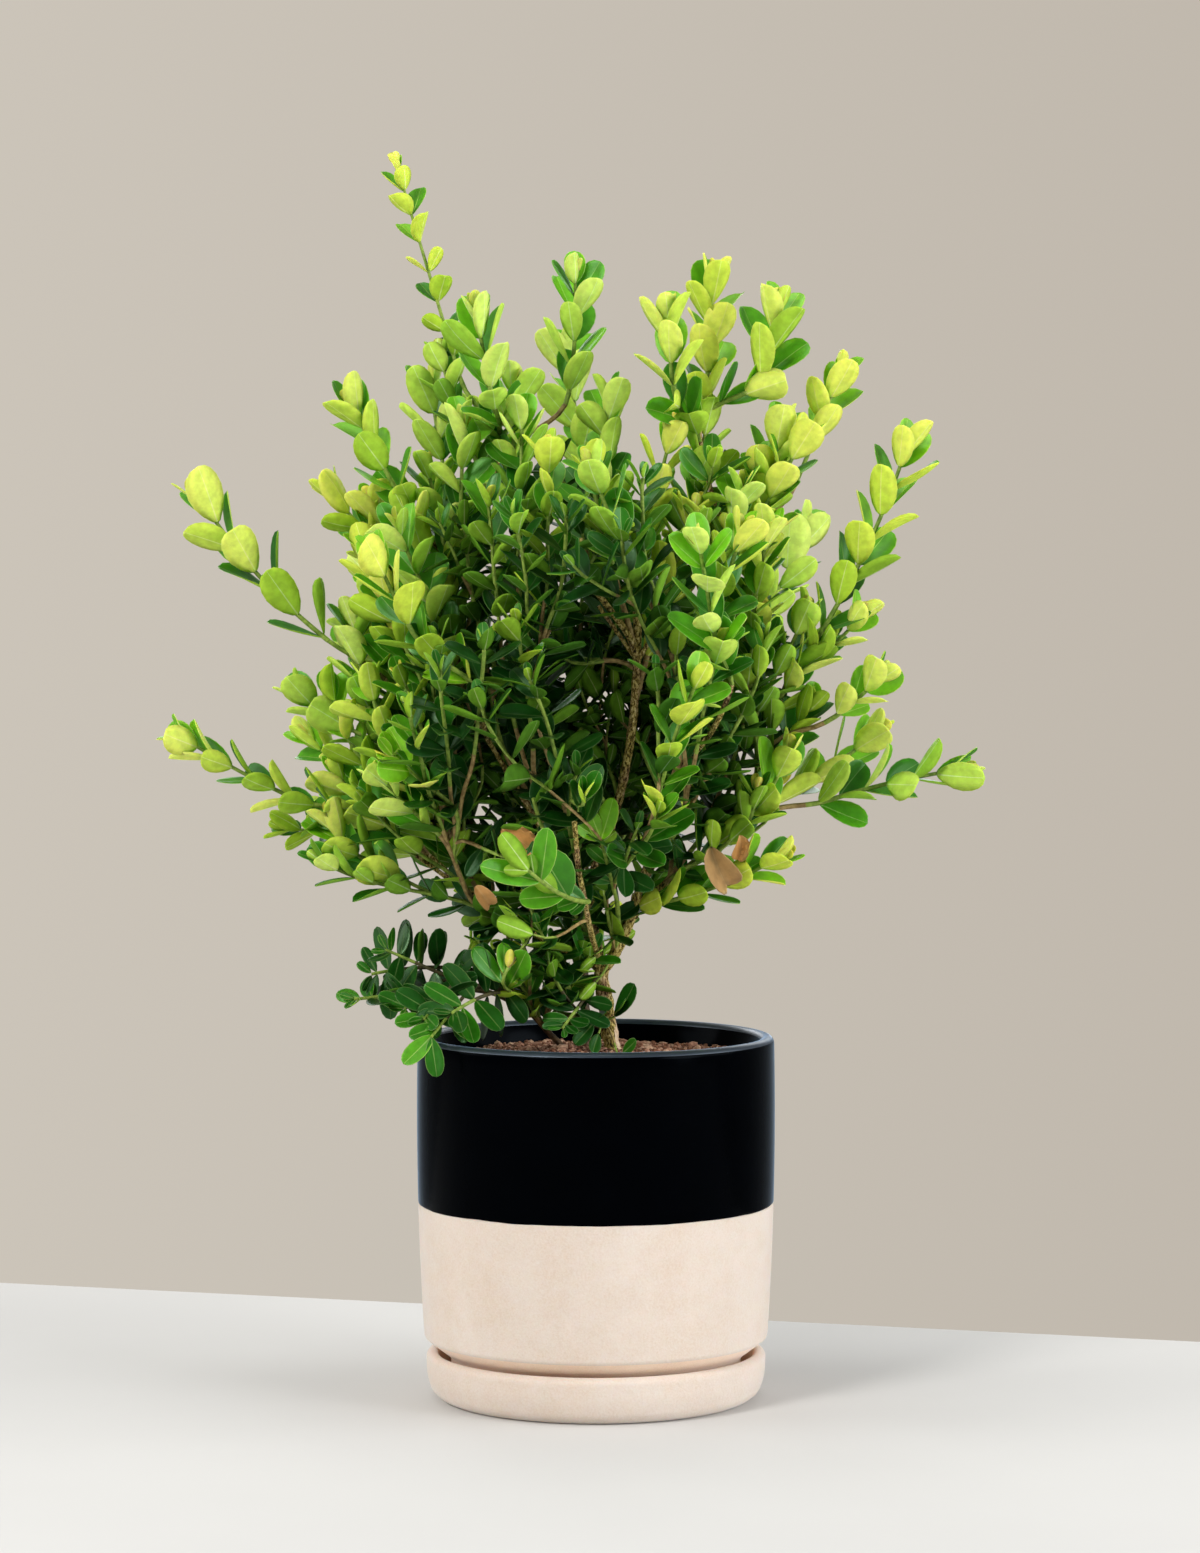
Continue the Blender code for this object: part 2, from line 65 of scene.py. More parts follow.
# Pot and saucer
TURN_STEPS = 144
SAUCER_R = 0.0668
SAUCER_BASE_R = 0.0590  # of the flat underside
SAUCER_H = 0.0185
SAUCER_WALL = 0.0052
SAUCER_FLOOR = 0.0050
POT_R = 0.0704  # at its belly
POT_TOP = 0.1425
POT_WALL = 0.0082
POT_BELLY_Z = 0.1120
POT_BARREL = 0.0028  # how far the wall draws in from there to the lower corner
POT_BASE_Z = 0.0053
POT_FLOOR = 0.0080
CORNER_Z = 0.0245
CORNER_R = 0.0024
BARREL_FOOT_Z = 0.0280  # the wall's lowest ring above the corner
FOOT_R = 0.0570
FOOT_TOP_Z = 0.0165
FOOT_EDGE_R = 0.0018
DRAIN_R = 0.0060
INNER_WALL = (0.0220, 0.0360, 0.0650, 0.1100)  # heights of its rings, which no one sees
LIP_R = 0.0029
LIP_FOOT_Z = 0.1340  # outside
LIP_INNER_Z = 0.1355
GLAZE_Z = 0.0770
GLAZE_T = 0.00035
GLAZE_WOBBLE = 0.00025
GLAZE_EDGE = 0.0012  # the height over which its lower edge wavers
GLAZE_INNER_Z = 0.1280  # it ends here on the inner wall

# Soil
SOIL_EDGE_Z = 0.1338
SOIL_MOUND_Z = 0.1366
SOIL_BASE_Z = 0.1200
SOIL_R = 0.0618
SOIL_RINGS, SOIL_SIDES = 64, 220
CRUMBS = 2600
CRUMB_SIZE, CHIP_SIZE = (0.0004, 0.0010), (0.0010, 0.0019)
CRUMB_SHARE = 0.85  # the rest are chips

# Crown: how far its leaves reach from the fan's foot, by the angle from upright in degrees
FAN_FOOT = np.array((0.0, 0.0, 0.139))
LEFT_REACH = ((0, 0.244), (4, 0.250), (8, 0.272), (14, 0.256), (19, 0.240), (24, 0.238), (32, 0.200),
              (40, 0.167), (48, 0.149), (56, 0.131), (66, 0.101), (80, 0.060))
RIGHT_REACH = ((0, 0.250), (4, 0.228), (9, 0.266), (14, 0.264), (19, 0.226), (23, 0.186), (28, 0.158),
               (34, 0.142), (40, 0.118), (48, 0.097), (56, 0.080), (66, 0.060), (80, 0.040))
DEPTH_REACH = ((0, 0.250), (12, 0.250), (24, 0.215), (36, 0.170), (48, 0.140), (60, 0.105), (80, 0.050))
# The crown's underside rises outward from here, by these slopes to the left, the right and in depth
HEM_Z = 0.160
HEM_LEFT, HEM_RIGHT, HEM_DEPTH = 0.48, 1.02, 0.46
# Dark leaves also fill this space round the foot of the trunk, below the hem
COLUMNS = ellipsoids(((-0.021, -0.003, 0.178), (0.032, 0.026, 0.027)),
                     ((-0.013, -0.009, 0.156), (0.014, 0.013, 0.016)))
# For how open to the light a place is
CROWN_MIDDLE, CROWN_HALF = ellipsoids(((-0.008, 0.0, 0.285), (0.092, 0.118, 0.120)))[0]

# Leaves
LEAF_L = 0.0205
LEAF_BREADTH = 0.57  # of the length
LEAF_T = 0.00030
RIB_HALF = 0.00024
EDGE_W = 0.00028  # the pale margin, partly the leaf's own, partly a painted highlight along its edge
LEAF_LEAST_HALF = 0.00032  # half its breadth next to its base and tip
PAIR_STEP = 0.0098  # along a shoot
RISE = 0.34  # how far the leaves of a leaning shoot turn up
SHOOT_POINTS = 24  # of the line through a shoot's solid
TIP_LEAF = 0.0110  # a shoot's last leaves reach about this far past its stem
LEAVES_A_PIECE = 900

# Limbs and twigs
LIMB_STEP = 0.0011  # between a limb's rings
TIP_GAP = 0.0190  # between the tips of long shoots
TIP_TRIES = 160  # in each mass
SHOOT_LEAFY = (0.065, 0.110)  # the length of a long shoot that bears leaves
INNER_LEAFY = (0.018, 0.040)
INNER_TRIES = 3200
INNER_GAP = 0.0100  # an inner twig grows where no leaf is nearer than this
INNER_CROWN = ellipsoids(((0.0, 0.012, 0.262), (0.060, 0.050, 0.060)),
                         ((-0.006, 0.008, 0.205), (0.034, 0.032, 0.036)),
                         ((-0.036, -0.004, 0.200), (0.026, 0.026, 0.026)),
                         *COLUMNS)
# Closely filled, so that no sky shows beside the bare bough
DENSE_CROWN = ellipsoids(((0.006, 0.030, 0.270), (0.034, 0.026, 0.050)),
                         ((-0.046, 0.020, 0.243), (0.032, 0.022, 0.030)),
                         ((-0.024, -0.002, 0.182), (0.030, 0.024, 0.024)),
                         ((-0.044, 0.005, 0.206), (0.022, 0.022, 0.020)),
                         ((-0.012, -0.008, 0.158), (0.015, 0.013, 0.016)))
DENSE_TRIES = 2400
DENSE_GAP = 0.0068


# ---- small helpers -------------------------------------------------------------------------


def smooth_step(low, high, value):
    share = min(1.0, max(0.0, (value - low) / (high - low)))
    return share * share * (3.0 - 2.0 * share)


def mix(a, b, share):
    return a + (b - a) * share


def unit(v):
    return v / np.maximum(np.linalg.norm(v, axis=-1, keepdims=True), 1e-12)


def in_ellipsoid(spot, middle, half):
    return np.sum(((spot - middle) / half) ** 2, axis=-1) < 1.0


def in_any(spot, spaces, share=1.0):
    """Whether a place is in any of these ellipsoids, drawn in by the share."""
    return any(in_ellipsoid(spot, middle, share * half) for middle, half in spaces)


class Places:
    """Rows of numbers gathered a few at a time and kept as one array."""

    def __init__(self, width=3):
        self.table = np.zeros((4096, width))
        self.count = 0

    def add(self, rows):
        rows = np.atleast_2d(rows)
        while self.count + len(rows) > len(self.table):
            self.table = np.concatenate([self.table, np.zeros_like(self.table)])
        self.table[self.count:self.count + len(rows)] = rows
        self.count += len(rows)

    def all(self):
        return self.table[:self.count]


def link(obj):
    bpy.context.scene.collection.objects.link(obj)
    return obj


def scaled(colour, factors):
    return tuple(c * f for c, f in zip(colour, factors))


def two_kinds(mesh, second):
    """second(middle of a face) says which faces take the second material."""
    mesh.polygons.foreach_set("material_index", np.array([second(p.center) for p in mesh.polygons], np.int32))
    return mesh


def shown(name, mesh, materials, replaced=()):
    """A finished piece: its materials, the body it rides on and what it stands for."""
    for material in materials:
        mesh.materials.append(material)
    piece = link(bpy.data.objects.new(name, mesh))
    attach(piece, "root")
    if replaced:
        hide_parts(*replaced)
    return piece


def mesh_from(name, points, faces, material_index=None, smooth=True):
    mesh = bpy.data.meshes.new(name)
    mesh.from_pydata([tuple(p) for p in points], [], faces)
    if material_index is not None:
        mesh.polygons.foreach_set("material_index", np.asarray(material_index, np.int32))
    mesh.polygons.foreach_set("use_smooth", np.full(len(mesh.polygons), smooth))
    mesh.update()
    return mesh


# ---- materials -----------------------------------------------------------------------------


def add_node(tree, kind, inputs, **settings):
    """A new node. Each input gets its value, or a link where that is the output of another node."""
    node = tree.nodes.new("ShaderNode" + kind)
    for name, value in settings.items():
        setattr(node, name, value)
    feed(tree, node, inputs)
    return node


def feed(tree, node, inputs):
    for name, value in inputs.items():
        if isinstance(value, bpy.types.NodeSocket):
            tree.links.new(value, node.inputs[name])
        else:
            node.inputs[name].default_value = value


class Surface:
    """A material with a Principled shader, and short calls for the nodes that feed it."""

    def __init__(self, name, roughness, specular=0.5):
        self.material = bpy.data.materials.new(name)
        self.material.use_nodes = True
        self.tree = self.material.node_tree
        self.place = self.tree.nodes.new("ShaderNodeTexCoord").outputs["Object"]
        self.set({"Roughness": roughness, "Specular IOR Level": specular})

    def set(self, inputs):
        feed(self.tree, self.tree.nodes["Principled BSDF"], inputs)

    def stretched(self, scale):
        return add_node(self.tree, "Mapping", {"Scale": scale, "Vector": self.place}).outputs["Vector"]

    def noise(self, scale, detail=3.0, rough=0.55, vector=None):
        inputs = {"Scale": scale, "Detail": detail, "Roughness": rough, "Vector": vector or self.place}
        return add_node(self.tree, "TexNoise", inputs).outputs["Fac"]

    def ramp(self, factor, stops):
        node = add_node(self.tree, "ValToRGB", {"Fac": factor})
        elements = node.color_ramp.elements
        while len(elements) < len(stops):
            elements.new(0.5)
        for element, (at, colour) in zip(elements, stops):
            element.position = at
            element.color = (*colour, 1.0)
        return node.outputs["Color"]

    def blend(self, factor, low, high, a, b):
        """Colour a where the factor is under low, b where it is over high."""
        share = add_node(self.tree, "MapRange", {"From Min": low, "From Max": high, "Value": factor})
        inputs = {"Factor": share.outputs["Result"], "A": a, "B": b}
        return add_node(self.tree, "Mix", inputs, data_type="RGBA").outputs["Result"]

    def math(self, operation, a, b):
        return add_node(self.tree, "Math", {0: a, 1: b}, operation=operation).outputs["Value"]

    def mottle(self, factor, low, high, dark, light):
        """Colour the surface dark where the factor is low, light where it is high."""
        self.set({"Base Color": self.ramp(factor, [(low, dark), (high, light)])})

    def roughness(self, factor, low, high):
        inputs = {"To Min": low, "To Max": high, "Value": factor}
        self.set({"Roughness": add_node(self.tree, "MapRange", inputs).outputs["Result"]})

    def bump(self, height, distance, strength=1.0):
        inputs = {"Distance": distance, "Strength": strength, "Height": height}
        self.set({"Normal": add_node(self.tree, "Bump", inputs).outputs["Normal"]})


def clay_material(name, tint):
    """Bare clay. tint is painted light: lighter and warmer on the pot's foot as painted bounce light in the
    gap, darker and warmer inside the saucer as painted shade.
    """
    surface = Surface(name, 0.85, 0.25)
    blotch = surface.noise(45.0, 5.0, 0.7)
    speck = surface.noise(1400.0, 2.0, 0.5)
    mixed = surface.math("ADD", surface.math("MULTIPLY", blotch, 0.55), surface.math("MULTIPLY", speck, 0.45))
    stops = ((0.32, (0.648, 0.523, 0.421)), (0.50, (0.696, 0.596, 0.516)), (0.70, (0.731, 0.655, 0.590)))
    surface.set({"Base Color": surface.ramp(mixed, [(at, scaled(colour, tint)) for at, colour in stops])})
    surface.roughness(blotch, 0.78, 0.92)
    surface.bump(surface.noise(900.0, 3.0, 0.6), 0.00018, 0.7)
    surface.set({"Sheen Weight": 0.35, "Sheen Roughness": 0.5, "Subsurface Weight": 0.20,
                 "Subsurface Radius": (1.0, 0.35, 0.15), "Subsurface Scale": 0.004})
    return surface.material


def glaze_material(name, colour, specular, roughness):
    """Near-black glaze, with a cold bloom where it turns away."""
    surface = Surface(name, roughness, specular)
    surface.mottle(surface.noise(60.0), 0.3, 0.7, scaled(colour, (0.6, 0.6, 0.6)), colour)
    surface.roughness(surface.noise(240.0, 4.0), roughness - 0.05, roughness + 0.05)
    surface.bump(surface.noise(320.0, 2.0), 0.00006, 0.5)
    surface.set({"Specular Tint": (0.70, 0.85, 1.0, 1.0), "Sheen Weight": 1.0, "Sheen Roughness": 0.20,
                 "Sheen Tint": (0.48, 0.70, 1.0, 1.0)})
    return surface.material


def soil_material():
    surface = Surface("potting_soil", 0.95, 0.2)
    stops = ((0.40, (0.014, 0.007, 0.004)), (0.49, (0.170, 0.076, 0.046)),
             (0.57, (0.470, 0.240, 0.160)), (0.66, (0.850, 0.580, 0.450)))
    surface.set({"Base Color": surface.ramp(surface.noise(700.0, 4.0, 0.75), stops)})
    surface.bump(surface.noise(1500.0, 4.0, 0.7), 0.0004)
    return surface.material


def chip_material(name, dark, light):
    surface = Surface(name, 0.92, 0.2)
    surface.mottle(surface.noise(600.0, 4.0, 0.6), 0.3, 0.7, dark, light)
    surface.bump(surface.noise(1800.0, 3.0, 0.7), 0.0003)
    return surface.material


def bark_material():
    """Pitted bark, mossy gold in places and bare brown in others."""
    surface = Surface("bark", 0.88, 0.2)
    along = surface.stretched((1.0, 1.0, 0.55))
    grain = surface.noise(1050.0, 4.0, 0.7, along)
    moss = surface.ramp(grain, [(0.38, (0.022, 0.016, 0.006)), (0.47, (0.190, 0.140, 0.026)),
                                (0.55, (0.560, 0.440, 0.120)), (0.68, (0.850, 0.750, 0.380))])
    brown = surface.ramp(grain, [(0.38, (0.020, 0.010, 0.005)), (0.47, (0.150, 0.080, 0.034)),
                                 (0.55, (0.460, 0.300, 0.140)), (0.68, (0.740, 0.580, 0.360))])
    surface.set({"Base Color": surface.blend(surface.noise(75.0, 2.0), 0.50, 0.64, moss, brown)})
    surface.bump(surface.noise(1200.0, 4.0, 0.7, along), 0.0006)
    return surface.material


def cut_wood_material():
    surface = Surface("cut_wood", 0.80, 0.3)
    surface.mottle(surface.noise(700.0, 3.0), 0.3, 0.7, (0.50, 0.33, 0.19), (0.80, 0.64, 0.46))
    return surface.material


def twig_material(name, dark, light):
    surface = Surface(name, 0.65, 0.35)
    surface.mottle(surface.noise(480.0, 3.0), 0.35, 0.65, dark, light)
    surface.bump(surface.noise(1200.0, 3.0), 0.0002, 0.6)
    return surface.material


def leaf_material(name, colour, roughness, specular, glow):
    """One leaf colour, a little mottled. glow is how much light passes into the blade."""
    surface = Surface(name, roughness, specular)
    low = scaled(colour, (0.86, 0.86, 0.86))
    high = tuple(min(1.0, 1.12 * c) for c in colour)
    surface.mottle(surface.noise(260.0, 3.0), 0.35, 0.65, low, high)
    surface.bump(surface.noise(1100.0, 2.0), 0.00008, 0.5)
    surface.set({"Specular Tint": (0.62, 1.0, 0.58, 1.0)})
    if glow:
        surface.set({"Subsurface Weight": glow, "Subsurface Radius": (0.6, 1.0, 0.15),
                     "Subsurface Scale": 0.0012})
    return surface.material


# Leaf ages from bud to old: colours of the upper side, the underside and the midrib.
LEAF_AGES = {
    "bud": ((0.50, 0.50, 0.050), (0.72, 0.70, 0.110), (0.72, 0.62, 0.16)),
    "new": ((0.175, 0.450, 0.008), (0.745, 0.885, 0.150), (0.84, 0.94, 0.32)),
    "young": ((0.076, 0.290, 0.005), (0.570, 0.750, 0.085), (0.72, 0.84, 0.28)),
    "fresh": ((0.033, 0.178, 0.004), (0.380, 0.600, 0.046), (0.54, 0.70, 0.23)),
    "mature": ((0.016, 0.124, 0.003), (0.225, 0.415, 0.030), (0.40, 0.54, 0.18)),
    "old": ((0.007, 0.068, 0.003), (0.100, 0.245, 0.016), (0.26, 0.38, 0.12)),
    "deep": ((0.004, 0.041, 0.003), (0.050, 0.145, 0.010), (0.16, 0.26, 0.09)),
    "dead": ((0.500, 0.270, 0.100), (0.680, 0.420, 0.180), (0.64, 0.42, 0.20)),
}
AGE_NAMES = list(LEAF_AGES)
BUD, NEW, YOUNG, FRESH, MATURE, OLD, DEEP, DEAD = range(len(AGE_NAMES))
# The pieces that the leaves are joined into, and the ages in each.
LEAF_KINDS = {"new": (BUD, NEW, YOUNG), "fresh": (FRESH, MATURE), "old": (OLD, DEEP), "dead": (DEAD,)}
TONES = [(1.0, 1.0, 1.0), (1.09, 1.03, 0.92), (0.86, 0.96, 1.08)]


def leaf_materials():
    """{(age, tone): (upper, under, the underside's rib, margin and upper rib)}"""
    made = {}
    for age, colours in enumerate(LEAF_AGES.values()):
        glow = 0.0 if age > MATURE else mix(0.50, 0.08, age / MATURE)
        gloss = 0.33 if age > YOUNG else 0.42
        for tone, factors in enumerate(TONES):
            upper, under, rib = (scaled(colour, factors) for colour in colours)
            # The margin is paler, a little towards the rib's colour: partly the leaf's own, partly a painted
            # highlight along the edge.
            edge = tuple(mix(a, b, 0.26) for a, b in zip(upper, rib))
            name = "leaf_%s_%d_" % (AGE_NAMES[age], tone + 1)
            made[age, tone] = (leaf_material(name + "upper", upper, gloss, 0.5, glow),
                               leaf_material(name + "under", under, 0.60, 0.15, glow),
                               leaf_material(name + "rib", rib, 0.50, 0.3, glow),
                               leaf_material(name + "edge", edge, 0.45, 0.4, glow))
    return made


# ---- turned pieces -------------------------------------------------------------------------


def arc(middle, radius, start_deg, end_deg, steps):
    """Points from one angle to another round the middle; 0 is outwards, 90 is up."""
    points = []
    for i in range(steps + 1):
        angle = math.radians(start_deg + (end_deg - start_deg) * i / steps)
        points.append((middle[0] + radius * math.cos(angle), middle[1] + radius * math.sin(angle)))
    return points


def rounded(points, radius, steps=4):
    """The open profile with each inner corner rounded by about radius."""
    made = [points[0]]
    for before, corner, after in zip(points, points[1:], points[2:]):
        a, c, b = Vector(before), Vector(corner), Vector(after)
        reach = min(radius, 0.45 * (a - c).length, 0.45 * (b - c).length)
        start = c + (a - c).normalized() * reach
        end = c + (b - c).normalized() * reach
        for i in range(steps + 1):
            t = i / steps
            made.append(tuple((1 - t) ** 2 * start + 2 * t * (1 - t) * c + t * t * end))
    return made + [points[-1]]


def turned_mesh(name, profile, closed, shape=None):
    """A profile of (r, z) points turned about Z. shape(r, z, angle) may move a point a little."""
    rings = []
    points = []
    for r, z in profile:
        if r < 1e-6:
            rings.append([len(points)] * TURN_STEPS)
            points.append((0.0, 0.0, z))
            continue
        ring = []
        for k in range(TURN_STEPS):
            angle = math.tau * k / TURN_STEPS
            rr, zz = shape(r, z, angle) if shape else (r, z)
            ring.append(len(points))
            points.append((rr * math.cos(angle), rr * math.sin(angle), zz))
        rings.append(ring)
    faces = []
    pairs = list(zip(rings, rings[1:] + (rings[:1] if closed else [])))
    for upper, lower in pairs:
        for k in range(TURN_STEPS):
            m = (k + 1) % TURN_STEPS
            corner = []
            for index in (upper[k], lower[k], lower[m], upper[m]):
                if index not in corner:
                    corner.append(index)
            if len(corner) > 2:
                faces.append(tuple(corner))
    mesh = mesh_from(name, points, faces)
    mesh.set_sharp_from_angle(angle=math.radians(40.0))
    return mesh


def pot_outer_r(z):
    fall = (z - POT_BELLY_Z) / (POT_BELLY_Z - CORNER_Z)
    return POT_R - POT_BARREL * fall * fall


def heights(top, bottom, count):
    return [top + (bottom - top) * i / (count - 1) for i in range(count)]


def make_pot(clays, glazes):
    """The clay body, and the glaze as a thin skin over its upper half, lip and inner wall."""
    lip_x = POT_R - 0.0003 - LIP_R
    inner_r = POT_R - POT_WALL
    skin = GLAZE_T

    def outer(top, bottom, count, inset=0.0):
        return [(pot_outer_r(z) - inset, z) for z in heights(top, bottom, count)]

    corner_r = pot_outer_r(CORNER_Z)
    corner = arc((corner_r - CORNER_R, CORNER_Z + 0.001), CORNER_R, 0.0, -52.0, 6)
    foot = rounded([corner[-1], (FOOT_R + 0.0002, FOOT_TOP_Z), (FOOT_R - 0.0006, POT_BASE_Z),
                    (DRAIN_R, POT_BASE_Z)], FOOT_EDGE_R)[1:]
    lip_middle = (lip_x, POT_TOP - LIP_R)
    body = arc(lip_middle, LIP_R - skin, 160.0, 0.0, 10)
    body += outer(LIP_FOOT_Z, GLAZE_Z, 8, skin) + outer(GLAZE_Z - 0.0004, BARREL_FOOT_Z, 12) + corner + foot
    body += [(DRAIN_R, POT_BASE_Z + POT_FLOOR), (FOOT_R - 0.010, POT_BASE_Z + POT_FLOOR)]
    body += zip((FOOT_R - 0.005, FOOT_R + 0.0025, inner_r - 0.0009, inner_r - skin), INNER_WALL)
    body += [(inner_r + skin, GLAZE_INNER_Z - 0.002), (inner_r + skin, LIP_INNER_Z)]
    # The pot's foot faces take the second clay: painted bounce light, lighter and warmer than the body.
    mesh = two_kinds(turned_mesh("pot_clay_body", body, True), lambda middle: middle.z < CORNER_Z - 0.001)
    shown("pot_clay_body", mesh, clays, ["pot"])

    def wavering(r, z, angle):
        """The glaze's lower edge isn't quite level."""
        near = math.exp(-((z - GLAZE_Z) / GLAZE_EDGE) ** 2)
        wave = noise.noise(Vector((math.cos(angle), math.sin(angle), 0.0)) * 3.0)
        fine = noise.noise(Vector((math.cos(angle), math.sin(angle), 2.0)) * 14.0)
        return r, z + near * GLAZE_WOBBLE * (wave * 1.6 + fine * 0.7)

    edge_r = pot_outer_r(GLAZE_Z)
    profile = arc(lip_middle, LIP_R, 170.0, 0.0, 14) + outer(LIP_FOOT_Z + 0.002, GLAZE_Z + 0.0008, 16)
    profile += [(edge_r - 0.00005, GLAZE_Z + 0.0003), (edge_r - skin * 0.5, GLAZE_Z),
                (edge_r - skin * 1.6, GLAZE_Z + 0.0001)]
    profile += outer(GLAZE_Z + 0.002, LIP_FOOT_Z, 8, skin * 1.5)
    profile += arc(lip_middle, LIP_R - skin * 1.5, 0.0, 170.0, 10)
    profile += [(inner_r + 0.0008, LIP_INNER_Z - 0.0005), (inner_r + 0.0004, GLAZE_INNER_Z + 0.002),
                (inner_r, GLAZE_INNER_Z), (inner_r - skin, GLAZE_INNER_Z + 0.002),
                (inner_r - skin, LIP_INNER_Z - 0.0005)]
    mesh = turned_mesh("pot_glaze", profile, True, wavering)
    # The top of the lip takes the second glaze, whose lighter blue-grey colour is a painted highlight.
    two_kinds(mesh, lambda middle: middle.z > POT_TOP - 0.55 * LIP_R)
    shown("pot_glaze", mesh, glazes, ["pot"])


def make_saucer(clays):
    inner_r = SAUCER_R - SAUCER_WALL
    lip = SAUCER_WALL / 2.0
    profile = rounded([(0.0, SAUCER_FLOOR), (inner_r - 0.0004, SAUCER_FLOOR), (inner_r, SAUCER_H - lip)],
                      0.0035)
    profile += arc((inner_r + lip, SAUCER_H - lip), lip, 175.0, 5.0, 12)
    profile += rounded([(SAUCER_R, SAUCER_H - lip - 0.0006), (SAUCER_R - 0.0002, 0.0090),
                        (SAUCER_R - 0.0022, 0.0030), (SAUCER_BASE_R + 0.0016, 0.0), (0.0, 0.0)], 0.0045, 6)
    mesh = turned_mesh("saucer_body", profile, False)

    # The saucer's inside faces take the second clay: painted shade, darker and warmer than the outside.
    def inside(middle):
        return math.hypot(middle.x, middle.y) < inner_r + 0.3 * lip and middle.z > SAUCER_FLOOR - 0.001

    shown("saucer_body", two_kinds(mesh, inside), clays, ["saucer"])


# ---- soil ----------------------------------------------------------------------------------


def soil_height(x, y):
    r = math.hypot(x, y)
    mound = mix(SOIL_MOUND_Z, SOIL_EDGE_Z, smooth_step(0.012, 0.045, r))
    place = Vector((x, y, 0.0))
    lumps = 0.0011 * noise.noise(place * 90.0) + 0.0009 * noise.noise(place * 260.0)
    return mound + lumps + 0.0006 * noise.noise(place * 700.0)


def make_soil(material, chips):
    sides = SOIL_SIDES
    points = [(0.0, 0.0, soil_height(0.0, 0.0))]
    for i in range(1, SOIL_RINGS + 1):
        r = SOIL_R * i / SOIL_RINGS
        for k in range(sides):
            angle = math.tau * k / sides
            x, y = r * math.cos(angle), r * math.sin(angle)
            points.append((x, y, soil_height(x, y)))
    base = len(points)
    points += [(x, y, SOIL_BASE_Z) for x, y, _ in points[-sides:]]
    faces = [(0, 1 + k, 1 + (k + 1) % sides) for k in range(sides)]
    for i in range(SOIL_RINGS):
        low, high = 1 + i * sides, 1 + (i + 1) * sides
        for k in range(sides):
            m = (k + 1) % sides
            faces.append((low + k, high + k, high + m, low + m))
    faces.append(tuple(base + k for k in reversed(range(sides))))
    mesh = mesh_from("soil_bed", points, faces, smooth=False)
    shown("soil_bed", mesh, [material], ["soil"])
    make_crumbs(chips)


def make_crumbs(materials):
    """Bark chips and peat crumbs, each a small rough lump, joined into one piece."""
    rng = random.Random(SEED + 1)
    shape = bmesh.new()
    bmesh.ops.create_icosphere(shape, subdivisions=1, radius=1.0)
    ball = [vert.co.copy() for vert in shape.verts]
    ball_faces = [[vert.index for vert in face.verts] for face in shape.faces]
    shape.free()
    points, faces, kinds = [], [], []
    for _ in range(CRUMBS):
        r = SOIL_R * math.sqrt(rng.random()) * 0.975
        angle = rng.uniform(0.0, math.tau)
        x, y = r * math.cos(angle), r * math.sin(angle)
        size = rng.uniform(*(CRUMB_SIZE if rng.random() < CRUMB_SHARE else CHIP_SIZE))
        stretch = Vector((rng.uniform(0.8, 1.7), rng.uniform(0.6, 1.0), rng.uniform(0.35, 0.8)))
        turn = Matrix.Rotation(rng.uniform(0, math.tau), 3, "Z") @ Matrix.Rotation(rng.gauss(0, 0.5), 3, "X")
        spot = Vector((x, y, soil_height(x, y) + size * 0.25))
        faces += [tuple(len(points) + k for k in face) for face in ball_faces]
        for place in ball:
            ragged = size * (1.0 + 0.45 * noise.noise(place * size * 1300.0 + spot * 400.0))
            points.append(spot + turn @ (place * stretch * ragged))
        kind = 0 if rng.random() < 0.50 else (1 if rng.random() < 0.66 else 2)
        kinds += [kind] * len(ball_faces)
    shown("soil_crumbs", mesh_from("soil_crumbs", points, faces, kinds, False), materials)


# ---- lines ---------------------------------------------------------------------------------


def cumulative(points):
    steps = np.linalg.norm(np.diff(points, axis=0), axis=1)
    return np.concatenate([[0.0], np.cumsum(steps)])


def read_at(rows, runs, at):
    """The rows of a line, read this far along it; runs is how far along each row is."""
    return np.stack([np.interp(at, runs, rows[:, k]) for k in range(3)], axis=-1)


def resample(points, count):
    runs = cumulative(points)
    return read_at(points, runs, np.linspace(0.0, runs[-1], count))


def tangents(points):
    return unit(np.gradient(points, axis=0))


def fit_axis(name, degree, count=40):
    """A node's middle line from its root to its tip, with its radius along it."""
    mesh = NODES[name].data
    points = np.zeros(len(mesh.vertices) * 3)
    mesh.vertices.foreach_get("co", points)
    points = points.reshape(-1, 3)
    middle = points.mean(axis=0)
    direction = np.linalg.svd(points - middle)[2][0]
    if direction @ (middle - FAN_FOOT) < 0.0:
        direction = -direction
    along = (points - middle) @ direction
    curve = np.polyfit(along, points, degree)

    def on_curve(at):
        return sum(np.outer(at ** (degree - i), curve[i]) for i in range(degree + 1))

    at = np.linspace(along.min(), along.max(), count)
    off = np.linalg.norm(points - on_curve(along), axis=1)
    return on_curve(at), np.polyval(np.polyfit(along, off, 1), at)


def bezier(a, b, c, d, count):
    t = np.linspace(0.0, 1.0, count)[:, None]
    return (1 - t) ** 3 * a + 3 * t * (1 - t) ** 2 * b + 3 * t * t * (1 - t) * c + t ** 3 * d


# ---- tubes ---------------------------------------------------------------------------------


